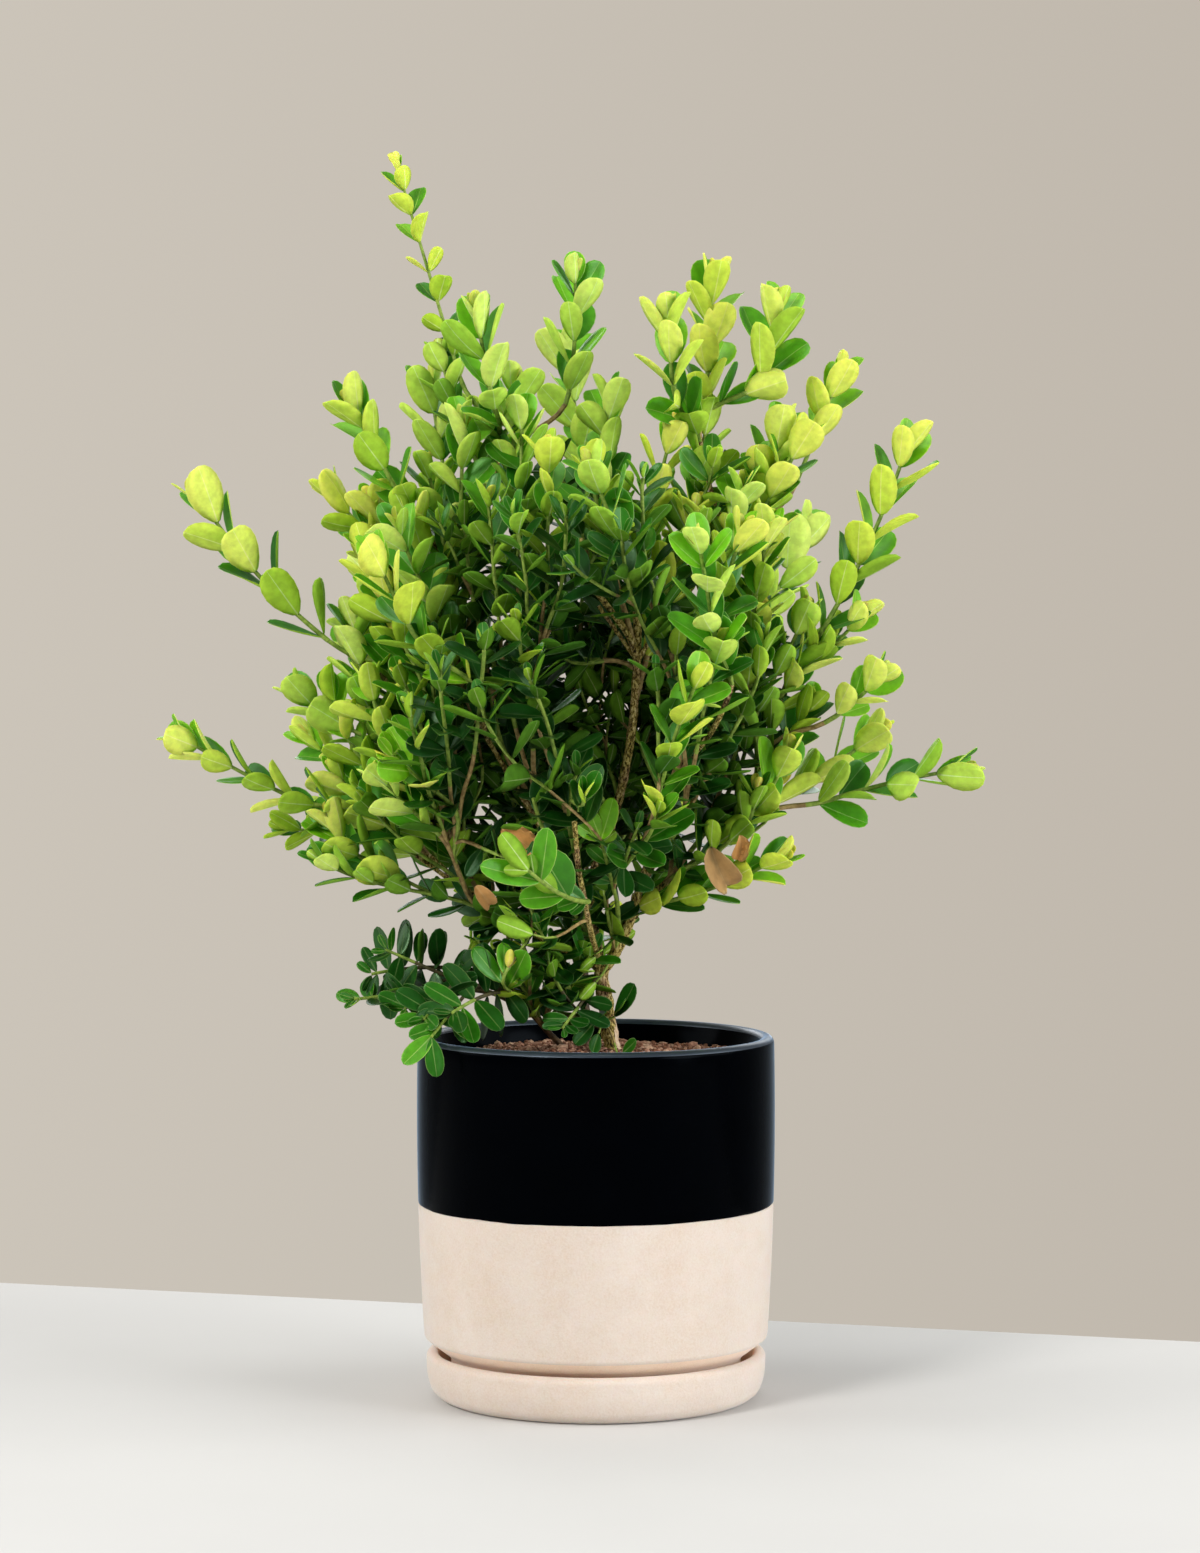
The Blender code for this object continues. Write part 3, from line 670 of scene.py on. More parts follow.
class Tubes:
    """Many tubes gathered into one mesh."""

    def __init__(self):
        self.points = []
        self.faces = []
        self.kinds = []
        self.count = 0

    def add(self, line, radii, sides, kinds=0, relief=None, end_kind=None, patch=None):
        """kinds is a material for all, or one for each ring. relief(point, angle) gives the surface's
        rise there, as a share of the radius. end_kind is the far end's material, which the sides
        also have inside the ellipsoid patch."""
        if isinstance(kinds, int):
            kinds = [kinds] * (len(line) - 1)
        along = tangents(line)
        side = unit(np.cross(along[0], (0.31, 0.87, 0.12)))
        start = self.count
        for i, (spot, out) in enumerate(zip(line, along)):
            side = unit(side - (side @ out) * out)
            other = np.cross(out, side)
            for k in range(sides):
                angle = math.tau * k / sides
                rise = relief(spot, angle) if relief else 0.0
                reach = radii[i] * (1.0 + rise)
                self.points.append(spot + reach * (math.cos(angle) * side + math.sin(angle) * other))
        self.count += len(line) * sides
        for i in range(len(line) - 1):
            low, high = start + i * sides, start + (i + 1) * sides
            for k in range(sides):
                m = (k + 1) % sides
                self.faces.append((low + k, low + m, high + m, high + k))
                bare = patch and in_ellipsoid(self.points[low + k], *patch)
                self.kinds.append(end_kind if bare else kinds[i])
        last = start + (len(line) - 1) * sides
        self.faces.append(tuple(start + k for k in reversed(range(sides))))
        self.faces.append(tuple(last + k for k in range(sides)))
        self.kinds += [kinds[0], kinds[-1] if end_kind is None else end_kind]

    def mesh(self, name):
        made = mesh_from(name, self.points, self.faces, self.kinds)
        made.set_sharp_from_angle(angle=math.radians(60.0))
        return made


# ---- leaves --------------------------------------------------------------------------------

# Rows of points across a leaf between its base and its tip, and the points of each row.
ROWS = np.array([0.05, 0.18, 0.36, 0.55, 0.73, 0.87, 0.96])
UPPER_COLUMNS = 8  # margin, inside the margin, blade, rib, rib, blade, inside the margin, margin
UNDER_COLUMNS = 4  # blade, rib, rib, blade: the margins are shared
UPPER, UNDER, RIB, EDGE = 0, 1, 2, 3


def outline(u, narrow_base):
    """Half-breadth of a box leaf along its length, 1 where it is broadest."""
    blunt = 0.47
    peak = narrow_base / (narrow_base + blunt)
    top = peak ** narrow_base * (1.0 - peak) ** blunt
    return u ** narrow_base * (1.0 - u) ** blunt / top


def leaf_faces():
    """Quads and triangles of one leaf, and each one's kind."""
    rows = len(ROWS)
    upper = 2 + np.arange(rows * UPPER_COLUMNS).reshape(rows, UPPER_COLUMNS)
    inner = 2 + rows * UPPER_COLUMNS + np.arange(rows * UNDER_COLUMNS).reshape(rows, UNDER_COLUMNS)
    under = np.concatenate([upper[:, :1], inner, upper[:, -1:]], 1)
    kinds_above = (EDGE, UPPER, UPPER, EDGE, UPPER, UPPER, EDGE)
    kinds_below = (UNDER, UNDER, RIB, UNDER, UNDER)
    quads, quad_kinds, fans, fan_kinds = [], [], [], []
    for grid, kinds, turn in ((upper, kinds_above, 1), (under, kinds_below, -1)):
        for k, kind in enumerate(kinds):
            for i in range(rows - 1):
                quads.append((grid[i, k], grid[i, k + 1], grid[i + 1, k + 1], grid[i + 1, k])[::turn])
                quad_kinds.append(kind)
            fans.append((0, grid[0, k + 1], grid[0, k])[::turn])
            fans.append((1, grid[-1, k], grid[-1, k + 1])[::turn])
            fan_kinds += [kind, kind]
    return np.array(quads), np.array(quad_kinds), np.array(fans), np.array(fan_kinds)


LEAF_COLUMNS = ("base", 3), ("direction", 3), ("normal", 3), ("length", 1), ("breadth", 1), \
    ("narrow", 1), ("fold", 1), ("cup", 1), ("curl", 1), ("twist", 1), ("age", 1), ("tone", 1)


def leaf_points(leaf):
    """(leaves, points, 3) from the leaves' columns: base, tip, upper rows, inner under rows."""
    direction = unit(leaf["direction"])
    normal = leaf["normal"]
    normal = unit(normal - (normal * direction).sum(1, keepdims=True) * direction)
    side = np.cross(direction, normal)
    length = leaf["length"]

    u = ROWS[None, :]
    half = 0.5 * leaf["breadth"] * outline(u, leaf["narrow"])
    half = np.maximum(half, LEAF_LEAST_HALF)
    whole = np.concatenate([np.zeros_like(length), np.repeat(u, len(length), 0), np.ones_like(length)], 1)
    bend = leaf["curl"] * whole ** 1.3
    step = np.diff(whole, axis=1) * length
    middle = 0.5 * (bend[:, 1:] + bend[:, :-1])
    forward = np.concatenate([np.zeros_like(length), np.cumsum(step * np.cos(middle), 1)], 1)
    drop = np.concatenate([np.zeros_like(length), np.cumsum(step * np.sin(middle), 1)], 1)

    rib = np.minimum(RIB_HALF * (1.3 - 0.9 * u), 0.42 * half)
    edge = half - np.minimum(EDGE_W, 0.3 * half)
    above = np.stack([-half, -edge, -0.5 * half, -rib, rib, 0.5 * half, edge, half], 2)
    below = np.stack([-0.5 * half, -rib, rib, 0.5 * half], 2)
    thick_above = 0.5 * LEAF_T * np.array([0.0, 0.7, 1.0, 1.0, 1.0, 1.0, 0.7, 0.0])
    thick_below = -0.5 * LEAF_T * np.array([1.0, 1.7, 1.7, 1.0])

    def placed(v, thick):
        share = v / half[:, :, None]
        rise = leaf["fold"][:, :, None] * np.abs(v) + leaf["cup"][:, :, None] * half[:, :, None] * share ** 2
        turn = (leaf["twist"] * u)[:, :, None]
        lift = rise * np.cos(turn) + v * np.sin(turn) + thick
        across = v * np.cos(turn) - rise * np.sin(turn)
        bent = bend[:, 1:-1, None]
        along = forward[:, 1:-1, None] + lift * np.sin(bent)
        high = -drop[:, 1:-1, None] + lift * np.cos(bent)
        return (leaf["base"][:, None, None, :] + across[..., None] * side[:, None, None, :]
                + along[..., None] * direction[:, None, None, :] + high[..., None] * normal[:, None, None, :])

    tip = leaf["base"] + forward[:, -1:] * direction - drop[:, -1:] * normal
    sides = [placed(above, thick_above), placed(below, thick_below)]
    rows = [points.reshape(len(length), -1, 3) for points in sides]
    return np.concatenate([leaf["base"][:, None], tip[:, None], *rows], 1)


class Leaves:
    """Every leaf's place and shape, gathered and then built all at once."""

    def __init__(self):
        self.rows = []

    def add(self, *columns):
        self.rows.append([value for column in columns
                          for value in (column if np.ndim(column) else (column,))])

    def columns(self):
        table = np.array(self.rows)
        made, at = {}, 0
        for name, width in LEAF_COLUMNS:
            made[name] = table[:, at:at + width]
            at += width
        return made


def make_leaves(name, leaf, materials, slot_name, replaced):
    """One piece of leaves. Each leaf's age and tone pick its materials."""
    looks = [(int(a), int(t)) for a, t in zip(leaf["age"][:, 0], leaf["tone"][:, 0])]
    used = sorted(set(looks))
    listed = [material for look in used for material in materials[look]]
    offset = np.array([used.index(look) * 4 for look in looks])
    points = leaf_points(leaf)
    count, per = points.shape[:2]
    first = (np.arange(count) * per)[:, None, None]
    quads, quad_kinds, fans, fan_kinds = leaf_faces()
    corners = [(quads[None] + first).ravel(), (fans[None] + first).ravel()]
    index = [(quad_kinds[None] + offset[:, None]).ravel(), (fan_kinds[None] + offset[:, None]).ravel()]
    sizes = np.concatenate([np.full(count * len(quads), 4), np.full(count * len(fans), 3)])
    mesh = bpy.data.meshes.new(name)
    mesh.vertices.add(count * per)
    mesh.vertices.foreach_set("co", points.astype(np.float32).ravel())
    mesh.loops.add(int(sizes.sum()))
    mesh.loops.foreach_set("vertex_index", np.concatenate(corners).astype(np.int32))
    mesh.polygons.add(len(sizes))
    mesh.polygons.foreach_set("loop_start", (np.cumsum(sizes) - sizes).astype(np.int32))
    mesh.update(calc_edges=True)
    mesh.polygons.foreach_set("material_index", np.concatenate(index).astype(np.int32))
    mesh.polygons.foreach_set("use_smooth", np.ones(len(sizes), bool))
    mesh.update()
    return shown(name, mesh, listed, replaced)


# ---- how the shrub grows -------------------------------------------------------------------

# Left open in front of the two bare boughs that show, and of the bright sprigs at the front
NICHES = ellipsoids(((0.012, -0.036, 0.262), (0.020, 0.034, 0.044)),
                    ((-0.036, -0.044, 0.247), (0.014, 0.036, 0.021)),
                    ((-0.007, -0.078, 0.216), (0.030, 0.028, 0.023)))

BARK, BROWN, GREEN, DARK = range(4)  # the twigs' materials
CUT_WOOD, DARK_BARK = 1, 2  # of the limbs' materials, after BARK

# Twigs: about how long they are, and their radii at root and tip
BRANCH_L, BRANCH_R = 0.060, (0.0015, 0.0011)
STEM_L, STEM_R = 0.030, (0.0013, 0.0010)  # from the wood to a sprig
SPRIG_R = (0.0010, 0.0007)
SHOOT_L, SHOOT_R = (0.050, 0.080), (0.0013, 0.0008)  # low in the crown, and high
INNER_L, INNER_R = 0.030, (0.0010, 0.0006)
LONE_L, LONE_R = 0.014, (0.0007, 0.0004)
# The green stretch at their tips
SHOOT_GREEN = (0.035, 0.070)  # in the shade, and in the light
INNER_GREEN, DARK_GREEN, LONE_GREEN = 0.018, 0.012, 0.008

# A leaf's angle to the stem in degrees: in the bud, grown, and what it gains as it gets old
BUD_ANGLE, LEAF_ANGLE, OLD_ANGLE = 13.0, 37.0, 14.0


class Habit(NamedTuple):
    """How a shoot bears its leaves. The tables give the first numbers in this order."""
    vigour: float = 0.95  # 0 old and dark to its tip, 1 long and bright
    size: float = 1.0  # of its leaves
    step: float = 1.0  # between its pairs
    breadth: float = 1.0
    opening: float = 1.0  # of the leaves' angle to the stem
    face: tuple = ()  # the way its flat spray of leaves faces; none for a shoot with leaves all round
    trail: float = 0.035  # how far its leaves go on along the twig that carries it
    wood: int = BROWN
    rise: float = 1.0  # how much the leaves of a leaning shoot turn up


FRONT = (0.0, -0.9, 0.4)
FRONT_UP = (-0.15, -0.75, 0.55)


def drooping(vigour, size, step, breadth, opening, face=FRONT_UP):
    """The habit of the dark sprigs over the pot's rim and at the foot."""
    return Habit(vigour, size, step, breadth, opening, face, 0.0, DARK)


SHOOT_HABITS = {
    "shoot_spire": Habit(1.0, 0.56, 2.2, 1.40, 1.1, trail=0.0, wood=GREEN),
    "shoot_droop_out": drooping(0.04, 0.86, 0.85, 0.98, 1.9),
    "shoot_droop_rim": drooping(0.16, 0.86, 0.85, 1.0, 1.7),
    "shoot_foot": drooping(0.0, 0.66, 1.0, 0.95, 1.4, ()),
    "shoot_front_low": Habit(0.84, 1.16, 1.15, 0.98, 1.35, FRONT, 0.010, GREEN),
    "shoot_left_arm": Habit(1.0, 1.12, 1.05, 1.05, trail=0.010, rise=1.9),
    "shoot_top_middle": Habit(0.95, 0.92, opening=0.9, trail=0.002),
    "shoot_left_low": Habit(0.42, 0.78, rise=0.6),
    "shoot_far_left": Habit(0.70, 0.80, rise=0.0),
    "shoot_far_right": Habit(0.95, 0.95, trail=0.008, rise=0.3),
    "shoot_right_small": Habit(0.85, 0.80, trail=0.010),
    "shoot_right_upper": Habit(0.90, 0.90, trail=-0.014),
    "shoot_right_low": Habit(0.80, 0.92, trail=0.020, rise=0.5),
}

# The leaves of these hang from or stand on the solid, so the stem is drawn this far from its middle line.
SHIFTS = {"shoot_left_arm": (0.0012, 0.0, 0.0030), "shoot_right_low": (0.0, 0.0, 0.0030),
          "shoot_far_left": (0.0, 0.0, -0.0020)}

# Leafy sprigs apart from those of the solids: base, tip and habit.
SPRIGS = {
    "left_lower": ((-0.052, -0.014, 0.196), (-0.106, -0.030, 0.213), Habit(0.42, 0.78)),
    "left_small": ((-0.072, 0.010, 0.236), (-0.114, 0.020, 0.258), Habit(0.85, 0.85)),
    "left_middle": ((-0.076, -0.005, 0.252), (-0.116, -0.005, 0.277), Habit(0.60, 0.95)),
    "left_bright": ((-0.060, -0.036, 0.223), (-0.081, -0.046, 0.245),
                    Habit(0.95, 0.95, opening=0.9, trail=0.0)),
    "left_facing": ((-0.056, -0.046, 0.236), (-0.077, -0.058, 0.254),
                    Habit(0.72, 0.98, 1.1, 0.95, 1.4, (-0.2, -0.8, 0.5), 0.0, GREEN)),
    "left_shoulder": ((-0.070, 0.005, 0.322), (-0.103, 0.005, 0.355), Habit(0.85, 0.95)),
    "upper_left": ((-0.056, 0.010, 0.342), (-0.065, 0.015, 0.397), Habit(0.90, 1.0)),
    "top_notch": ((-0.032, -0.010, 0.352), (-0.032, -0.012, 0.396), Habit(0.85, 0.92)),
    "top_middle_foot": ((0.006, 0.000, 0.350), (0.004, 0.000, 0.392), Habit(0.85, 0.90)),
    "top_right_foot": ((0.036, 0.004, 0.345), (0.044, 0.006, 0.386), Habit(0.85, 0.95)),
    "top_right_small": ((0.020, -0.005, 0.342), (0.029, -0.006, 0.378), Habit(0.80, 0.90)),
    "right_inner": ((0.064, -0.004, 0.272), (0.081, -0.006, 0.307), Habit(0.50, 0.85)),
    "right_inner_low": ((0.064, 0.000, 0.245), (0.084, -0.002, 0.272), Habit(0.42, 0.85)),
    "upper_right": ((0.060, 0.002, 0.342), (0.073, 0.002, 0.380), Habit(0.85, 0.95)),
    "upper_right_low": ((0.057, -0.004, 0.335), (0.080, -0.004, 0.376), Habit(0.75, 0.90)),
    "spire_foot": ((-0.054, 0.004, 0.384), (-0.061, 0.006, 0.410), Habit(0.55, 0.70, 1.2, 1.1)),
    "right_tall_foot": ((0.078, -0.002, 0.283), (0.103, -0.006, 0.307), Habit(0.85, 0.85)),
    "front_centre": ((0.008, -0.020, 0.197), (0.002, -0.052, 0.222),
                     Habit(0.80, 0.80, 1.1, 0.95, 1.3, FRONT, 0.0, GREEN)),
    "droop_up": ((-0.054, -0.004, 0.164), (-0.082, -0.012, 0.177), drooping(0.02, 0.68, 1.1, 0.96, 1.8)),
    "droop_left": ((-0.070, -0.010, 0.160), (-0.094, -0.016, 0.158), drooping(0.06, 0.78, 0.9, 0.98, 1.8)),
    "droop_side": ((-0.062, -0.006, 0.163), (-0.074, -0.024, 0.155), drooping(0.05, 0.76, 0.8, 0.98, 1.9)),
    "droop_tip": ((-0.050, -0.016, 0.161), (-0.063, -0.044, 0.146), drooping(0.46, 0.64, 1.0, 0.95, 1.5)),
    "droop_low": ((-0.056, -0.012, 0.163), (-0.066, -0.034, 0.152), drooping(0.10, 0.76, 0.8, 0.98, 1.8)),
    "droop_root": ((-0.041, -0.002, 0.166), (-0.046, -0.008, 0.181), drooping(0.0, 0.46, 0.9, 0.9, 1.7, ())),
    "foot_front": ((-0.004, -0.006, 0.158), (-0.013, -0.020, 0.147), drooping(0.0, 0.64, 1.0, 0.96, 1.7)),
}

# Sprigs whose leaves are placed one by one. Each leaf: its place along the stem (0 root, 1 tip), the way it
# points as seen from the front (degrees from upright, + to the right), its length, its breadth over its
# length, the side that shows (1 upper, -1 under) and its age (BUD 0 to DEEP 6).
PLACED = {
    "shoot_front_low": (
        (0.82, 9, 0.0215, 0.46, 1, 2), (0.82, -77, 0.0245, 0.40, 1, 2), (0.38, -30, 0.0205, 0.78, 1, 3),
        (0.44, -93, 0.0175, 0.56, 1, 2), (0.56, -46, 0.0110, 0.74, -1, 4), (1.00, -36, 0.0180, 0.50, -1, 4),
        (1.00, -86, 0.0095, 0.52, -1, 4), (0.92, -8, 0.0085, 0.50, -1, 5), (0.06, -56, 0.0120, 0.52, 1, 4),
        (0.18, -107, 0.0090, 0.62, 1, 3), (0.06, -128, 0.0075, 0.62, 1, 4)),
    "front_centre": (
        (1.00, 18, 0.0180, 0.46, 1, 1), (1.00, -22, 0.0130, 0.46, 1, 1), (1.00, -58, 0.0125, 0.50, 1, 1),
        (0.96, 52, 0.0070, 0.60, -1, 4), (0.62, -50, 0.0110, 0.50, 1, 3), (0.62, 38, 0.0110, 0.50, 1, 3),
        (0.30, -72, 0.0125, 0.45, 1, 4), (0.30, 22, 0.0100, 0.50, 1, 5)),
    "droop_tip": (
        (0.75, -108, 0.0130, 0.50, 1, 3), (0.96, -135, 0.0160, 0.50, 1, 2), (1.00, 171, 0.0155, 0.48, 1, 4),
        (0.40, 159, 0.0140, 0.46, 1, 5), (0.50, 137, 0.0135, 0.48, 1, 3), (0.45, -99, 0.0145, 0.44, 1, 5)),
}

# Single leaves, one below the front sprig and the rest round the foot: base, tip, the way the upper side
# faces, and age.
LONE_LEAVES = (((-0.0236, -0.0620, 0.1867), (-0.0370, -0.0700, 0.1925), (0.10, 0.90, -0.20), 4),
               ((0.0072, -0.0040, 0.1500), (0.0172, -0.0080, 0.1628), (-0.55, -0.60, 0.50), 5),
               ((0.0070, -0.0030, 0.1510), (0.0130, -0.0110, 0.1560), (-0.30, -0.50, 0.80), 5),
               ((0.0105, -0.0180, 0.1372), (0.0165, -0.0230, 0.1430), (0.30, -0.80, 0.50), 4),
               ((-0.0010, -0.0100, 0.1480), (-0.0085, -0.0160, 0.1400), (0.20, -0.90, 0.40), 5),
               ((0.0010, -0.0110, 0.1440), (-0.0020, -0.0180, 0.1365), (0.40, -0.80, 0.40), 5),
               ((0.0000, -0.0080, 0.1640), (-0.0060, -0.0120, 0.1580), (0.10, 0.90, -0.20), 4),
               ((0.0000, -0.0080, 0.1740), (-0.0060, -0.0110, 0.1690), (0.10, 0.90, -0.20), 4))

# Bare twig ends: base, tip and radius. Two at the top of the bough that shows, one pale cut stub.
SNAGS = (((0.0145, -0.0115, 0.292), (0.0010, -0.0150, 0.311), 0.0010),
         ((0.0165, -0.0120, 0.290), (0.0235, -0.0170, 0.302), 0.0010),
         ((0.0150, -0.0050, 0.1890), (0.0166, -0.0070, 0.1995), 0.0017))

# A strip without bark at the trunk's foot: its middle and half-size.
WOUND = ellipsoids(((0.0086, -0.0020, 0.1400), (0.0014, 0.0040, 0.0100)))[0]

# Dead leaves caught in the crown: base, the way each points, and its length.
DEAD_LEAVES = (((0.044, -0.042, 0.219), (0.30, -0.10, -0.95), 0.018),
               ((0.055, -0.034, 0.223), (0.15, -0.2, -0.95), 0.010),
               ((-0.036, -0.050, 0.226), (0.80, -0.20, -0.45), 0.016),
               ((-0.046, -0.044, 0.204), (0.50, -0.20, -0.60), 0.010))


def crown_reach(spot):
    """How far the crown reaches from the fan's foot, the way of a place."""
    away = spot - FAN_FOOT
    flat = math.hypot(away[0], away[1])
    lean = math.degrees(math.atan2(flat, away[2]))
    side = np.interp(lean, *zip(*(RIGHT_REACH if away[0] > 0.0 else LEFT_REACH)))
    return mix(np.interp(lean, *zip(*DEPTH_REACH)), side, (away[0] / max(flat, 1e-6)) ** 2)


def in_crown(spot, share=1.0):
    """Inside the crown's outline, above its hem and out of the niches."""
    if in_any(spot, COLUMNS):
        return True
    flat = math.hypot(spot[0], spot[1])
    slope = mix(HEM_DEPTH, HEM_RIGHT if spot[0] > 0.0 else HEM_LEFT, (spot[0] / max(flat, 1e-6)) ** 2)
    if spot[2] < HEM_Z + slope * flat or in_any(spot, NICHES):
        return False
    return np.linalg.norm(spot - FAN_FOOT) < share * crown_reach(spot)


def openness(spot):
    """0 deep inside the crown, 1 at its top and outer edge."""
    far = math.sqrt(np.sum(((spot - CROWN_MIDDLE) / CROWN_HALF) ** 2))
    high = smooth_step(0.19, 0.40, spot[2])
    return smooth_step(0.50, 1.15, far) * mix(0.66, 1.0, high)


class Shrub:
    def __init__(self):
        self.rng = random.Random(SEED)
        self.wood = Places(7)  # place, direction and radius
        self.bark = Tubes()
        self.twigs = Tubes()
        self.leaves = Leaves()
        self.leaf_spots = Places()

    def scatter(self, spread):
        return np.array([self.rng.gauss(0.0, spread) for _ in range(3)])

    def remember(self, line, radii):
        """The points of a limb or a twig from which others can grow."""
        if len(line) > 1:
            self.wood.add(np.hstack([line, tangents(line), np.reshape(radii, (-1, 1))]))

    def gap_to_wood(self, spot):
        wood = self.wood.all()
        return np.min(np.linalg.norm(wood[:, :3] - spot, axis=1) - wood[:, 6])

    def best_start(self, goal, end_way, reach):
        """The place on the wood from which a twig about this long would best grow to the goal. Sharp
        turns at either end, a twig far too short and one that crosses a niche all cost it."""
        wood = self.wood.all()
        spots, ways = wood[:, :3], wood[:, 3:6]
        gap = goal - spots
        far = np.maximum(np.linalg.norm(gap, axis=1), 1e-6)
        lined = (gap * ways).sum(1) / far
        arriving = (gap @ end_way) / far
        turns = 0.8 * (1.0 - lined) + 1.6 * (1.0 - arriving) + 0.8 * np.maximum(0.0, -lined)
        cost = np.abs(far - reach) + np.maximum(far, 0.015) * turns
        cost = cost + 0.05 * (far < 0.4 * reach)
        for share in (0.25, 0.5, 0.75):
            for niche in NICHES:
                cost = cost + 0.04 * in_ellipsoid(spots + share * gap, *niche)
        return int(np.argmin(cost))

    def grow_to(self, goal, end_way, reach, root_and_tip_r, green, wood=BROWN):
        """A twig from the wood to the goal, ending in the direction end_way."""
        at = self.best_start(goal, end_way, reach)
        start, way, thick = np.split(self.wood.all()[at], (3, 6))
        span = np.linalg.norm(goal - start)
        leave = unit(0.7 * way + unit(goal - start))
        line = bezier(start, start + 0.33 * span * leave, goal - 0.40 * span * end_way, goal,
                      max(5, int(span / 0.0040)))
        wander = np.array([noise.noise_vector(Vector(p) * 45.0) for p in line]) * 0.0016
        line = line + wander * np.sin(np.linspace(0.0, math.pi, len(line)))[:, None]
        root_r, tip_r = root_and_tip_r
        radii = np.linspace(min(root_r, thick[0] * 0.92), tip_r, len(line))
        self.add_twig(line, radii, green, wood)
        return line

    def add_twig(self, line, radii, green, wood=BROWN):
        """A twig whose last stretch, this long, is green."""
        runs = cumulative(line)
        kinds = [GREEN if runs[-1] - run < green else wood for run in runs[1:]]
        self.twigs.add(line, radii, 6, kinds)
        self.remember(line, radii)

    def leafy(self, line, bare, habit, turn=None, kept=None):
        """Leaf pairs from the tip of a line back to the bare stretch at its root. kept(place) says
        whether there is room for a leaf."""
        rng = self.rng
        runs = cumulative(line)
        along = tangents(line)
        turn = rng.uniform(0.0, math.pi) if turn is None else turn
        tone = rng.randrange(len(TONES))
        back, pair = 0.0, 0
        while back < runs[-1] - bare:
            at = runs[-1] - back
            spot = read_at(line, runs, at)
            way = unit(read_at(along, runs, at))
            self.leaf_pair(spot, way, turn, pair, back, habit, tone, kept)
            turn += rng.gauss(0.0, 0.30) if habit.face else math.pi / 2.0 + rng.gauss(0.0, 0.14)
            step = PAIR_STEP * habit.size * habit.step
            back += step * mix(0.25, 1.0, smooth_step(-0.5, 2.6, pair)) * rng.uniform(0.85, 1.2)
            pair += 1

    def leaf_pair(self, spot, way, turn, pair, back, habit, tone, kept):
        rng = self.rng
        facing = np.array(habit.face or (0.02, 0.01, 1.0))
        level = unit(np.cross(way, facing))
        other = np.cross(level, way)
        length = LEAF_L * habit.size * mix(0.30, 1.0, smooth_step(-0.9, 2.4, pair)) * rng.uniform(0.90, 1.10)
        age = self.age_of(back, pair, habit.vigour, openness(spot) if kept else 0.6)
        grown = mix(BUD_ANGLE, LEAF_ANGLE, smooth_step(-0.5, 3.0, pair))
        opening = grown + OLD_ANGLE * smooth_step(2.5, 6.0, age)
        for flip in (0.0, math.pi):
            angle = turn + flip + rng.gauss(0.0, 0.10)
            out = math.cos(angle) * level + math.sin(angle) * other
            curl = rng.uniform(-0.45, 0.20)
            fold = rng.uniform(0.04, 0.14) if habit.face else rng.uniform(0.10, 0.42)
            spread = math.radians(opening * habit.opening + rng.gauss(0.0, 7.0)) - 0.45 * curl
            direction = math.cos(spread) * way + math.sin(spread) * out
            normal = math.sin(spread) * way - math.cos(spread) * out
            if habit.face:
                normal = unit(facing + 0.30 * self.scatter(1.0))
            lying = 0.0 if habit.face else 1.0 - abs(way[2])
            direction = unit(direction + np.array((0.0, 0.0, RISE * habit.rise * lying)))
            normal = unit(normal + np.array((0.0, 0.0, 1.0)) * lying * rng.uniform(0.0, 0.7))
            normal = unit(normal + rng.gauss(0.0, 0.34) * np.cross(direction, normal))
            own = length * rng.uniform(0.90, 1.10)
            middle = spot + 0.55 * own * direction
            leaf_age = max(min(age, 1), min(6, age + (rng.random() < 0.20) - (rng.random() < 0.20)))
            if kept and not kept(middle):
                continue
            ratio = LEAF_BREADTH * habit.breadth * mix(1.10, 0.88, smooth_step(1.5, 4.5, leaf_age))
            breadth = own * ratio * rng.uniform(0.84, 1.12)
            narrow, cup, twist = rng.uniform(0.54, 0.80), rng.uniform(-0.12, 0.16), rng.gauss(0.0, 0.22)
            self.leaves.add(spot + 0.0005 * out, direction, normal, own, breadth, narrow, fold, cup, curl,
                            twist, leaf_age, tone)
            self.leaf_spots.add(middle)

    def age_of(self, back, pair, vigour, light):
        """0 bud to 6 deep: by the distance back from the tip, how vigorous the shoot is and its light."""
        if pair < 1 and vigour > 0.45:
            return 0
        reach = mix(0.010, 0.062, vigour)
        old = back / reach
        value = 1.0 + 1.6 * old if old < 1.0 else 2.6 + 1.3 * (old - 1.0)
        value += 3.4 * (1.0 - smooth_step(0.0, 0.80, vigour))
        # Leaves with less light take darker, older colours: partly their own, partly painted shade.
        value += 0.9 * (0.6 - light)
        return int(round(min(6.0, max(1.0, value + self.rng.gauss(0.0, 0.40)))))

    def place_leaves(self, line, listed):
        rng = self.rng
        runs = cumulative(line)
        for share, degrees, length, ratio, side, age in listed:
            spot = read_at(line, runs, share * runs[-1])
            angle = math.radians(degrees)
            way = unit(np.array((math.sin(angle), -0.25, math.cos(angle))))
            facing = unit(side * np.array((0.0, -0.92, 0.40)) + 0.12 * self.scatter(1.0))
            narrow, fold, cup = rng.uniform(0.58, 0.74), rng.uniform(0.08, 0.18), 0.05
            curl, twist = rng.uniform(-0.30, 0.10), rng.gauss(0.0, 0.10)
            self.leaves.add(spot, way, facing, length, length * ratio, narrow, fold, cup, curl, twist, age, 0)
            self.leaf_spots.add(spot + 0.5 * length * way)

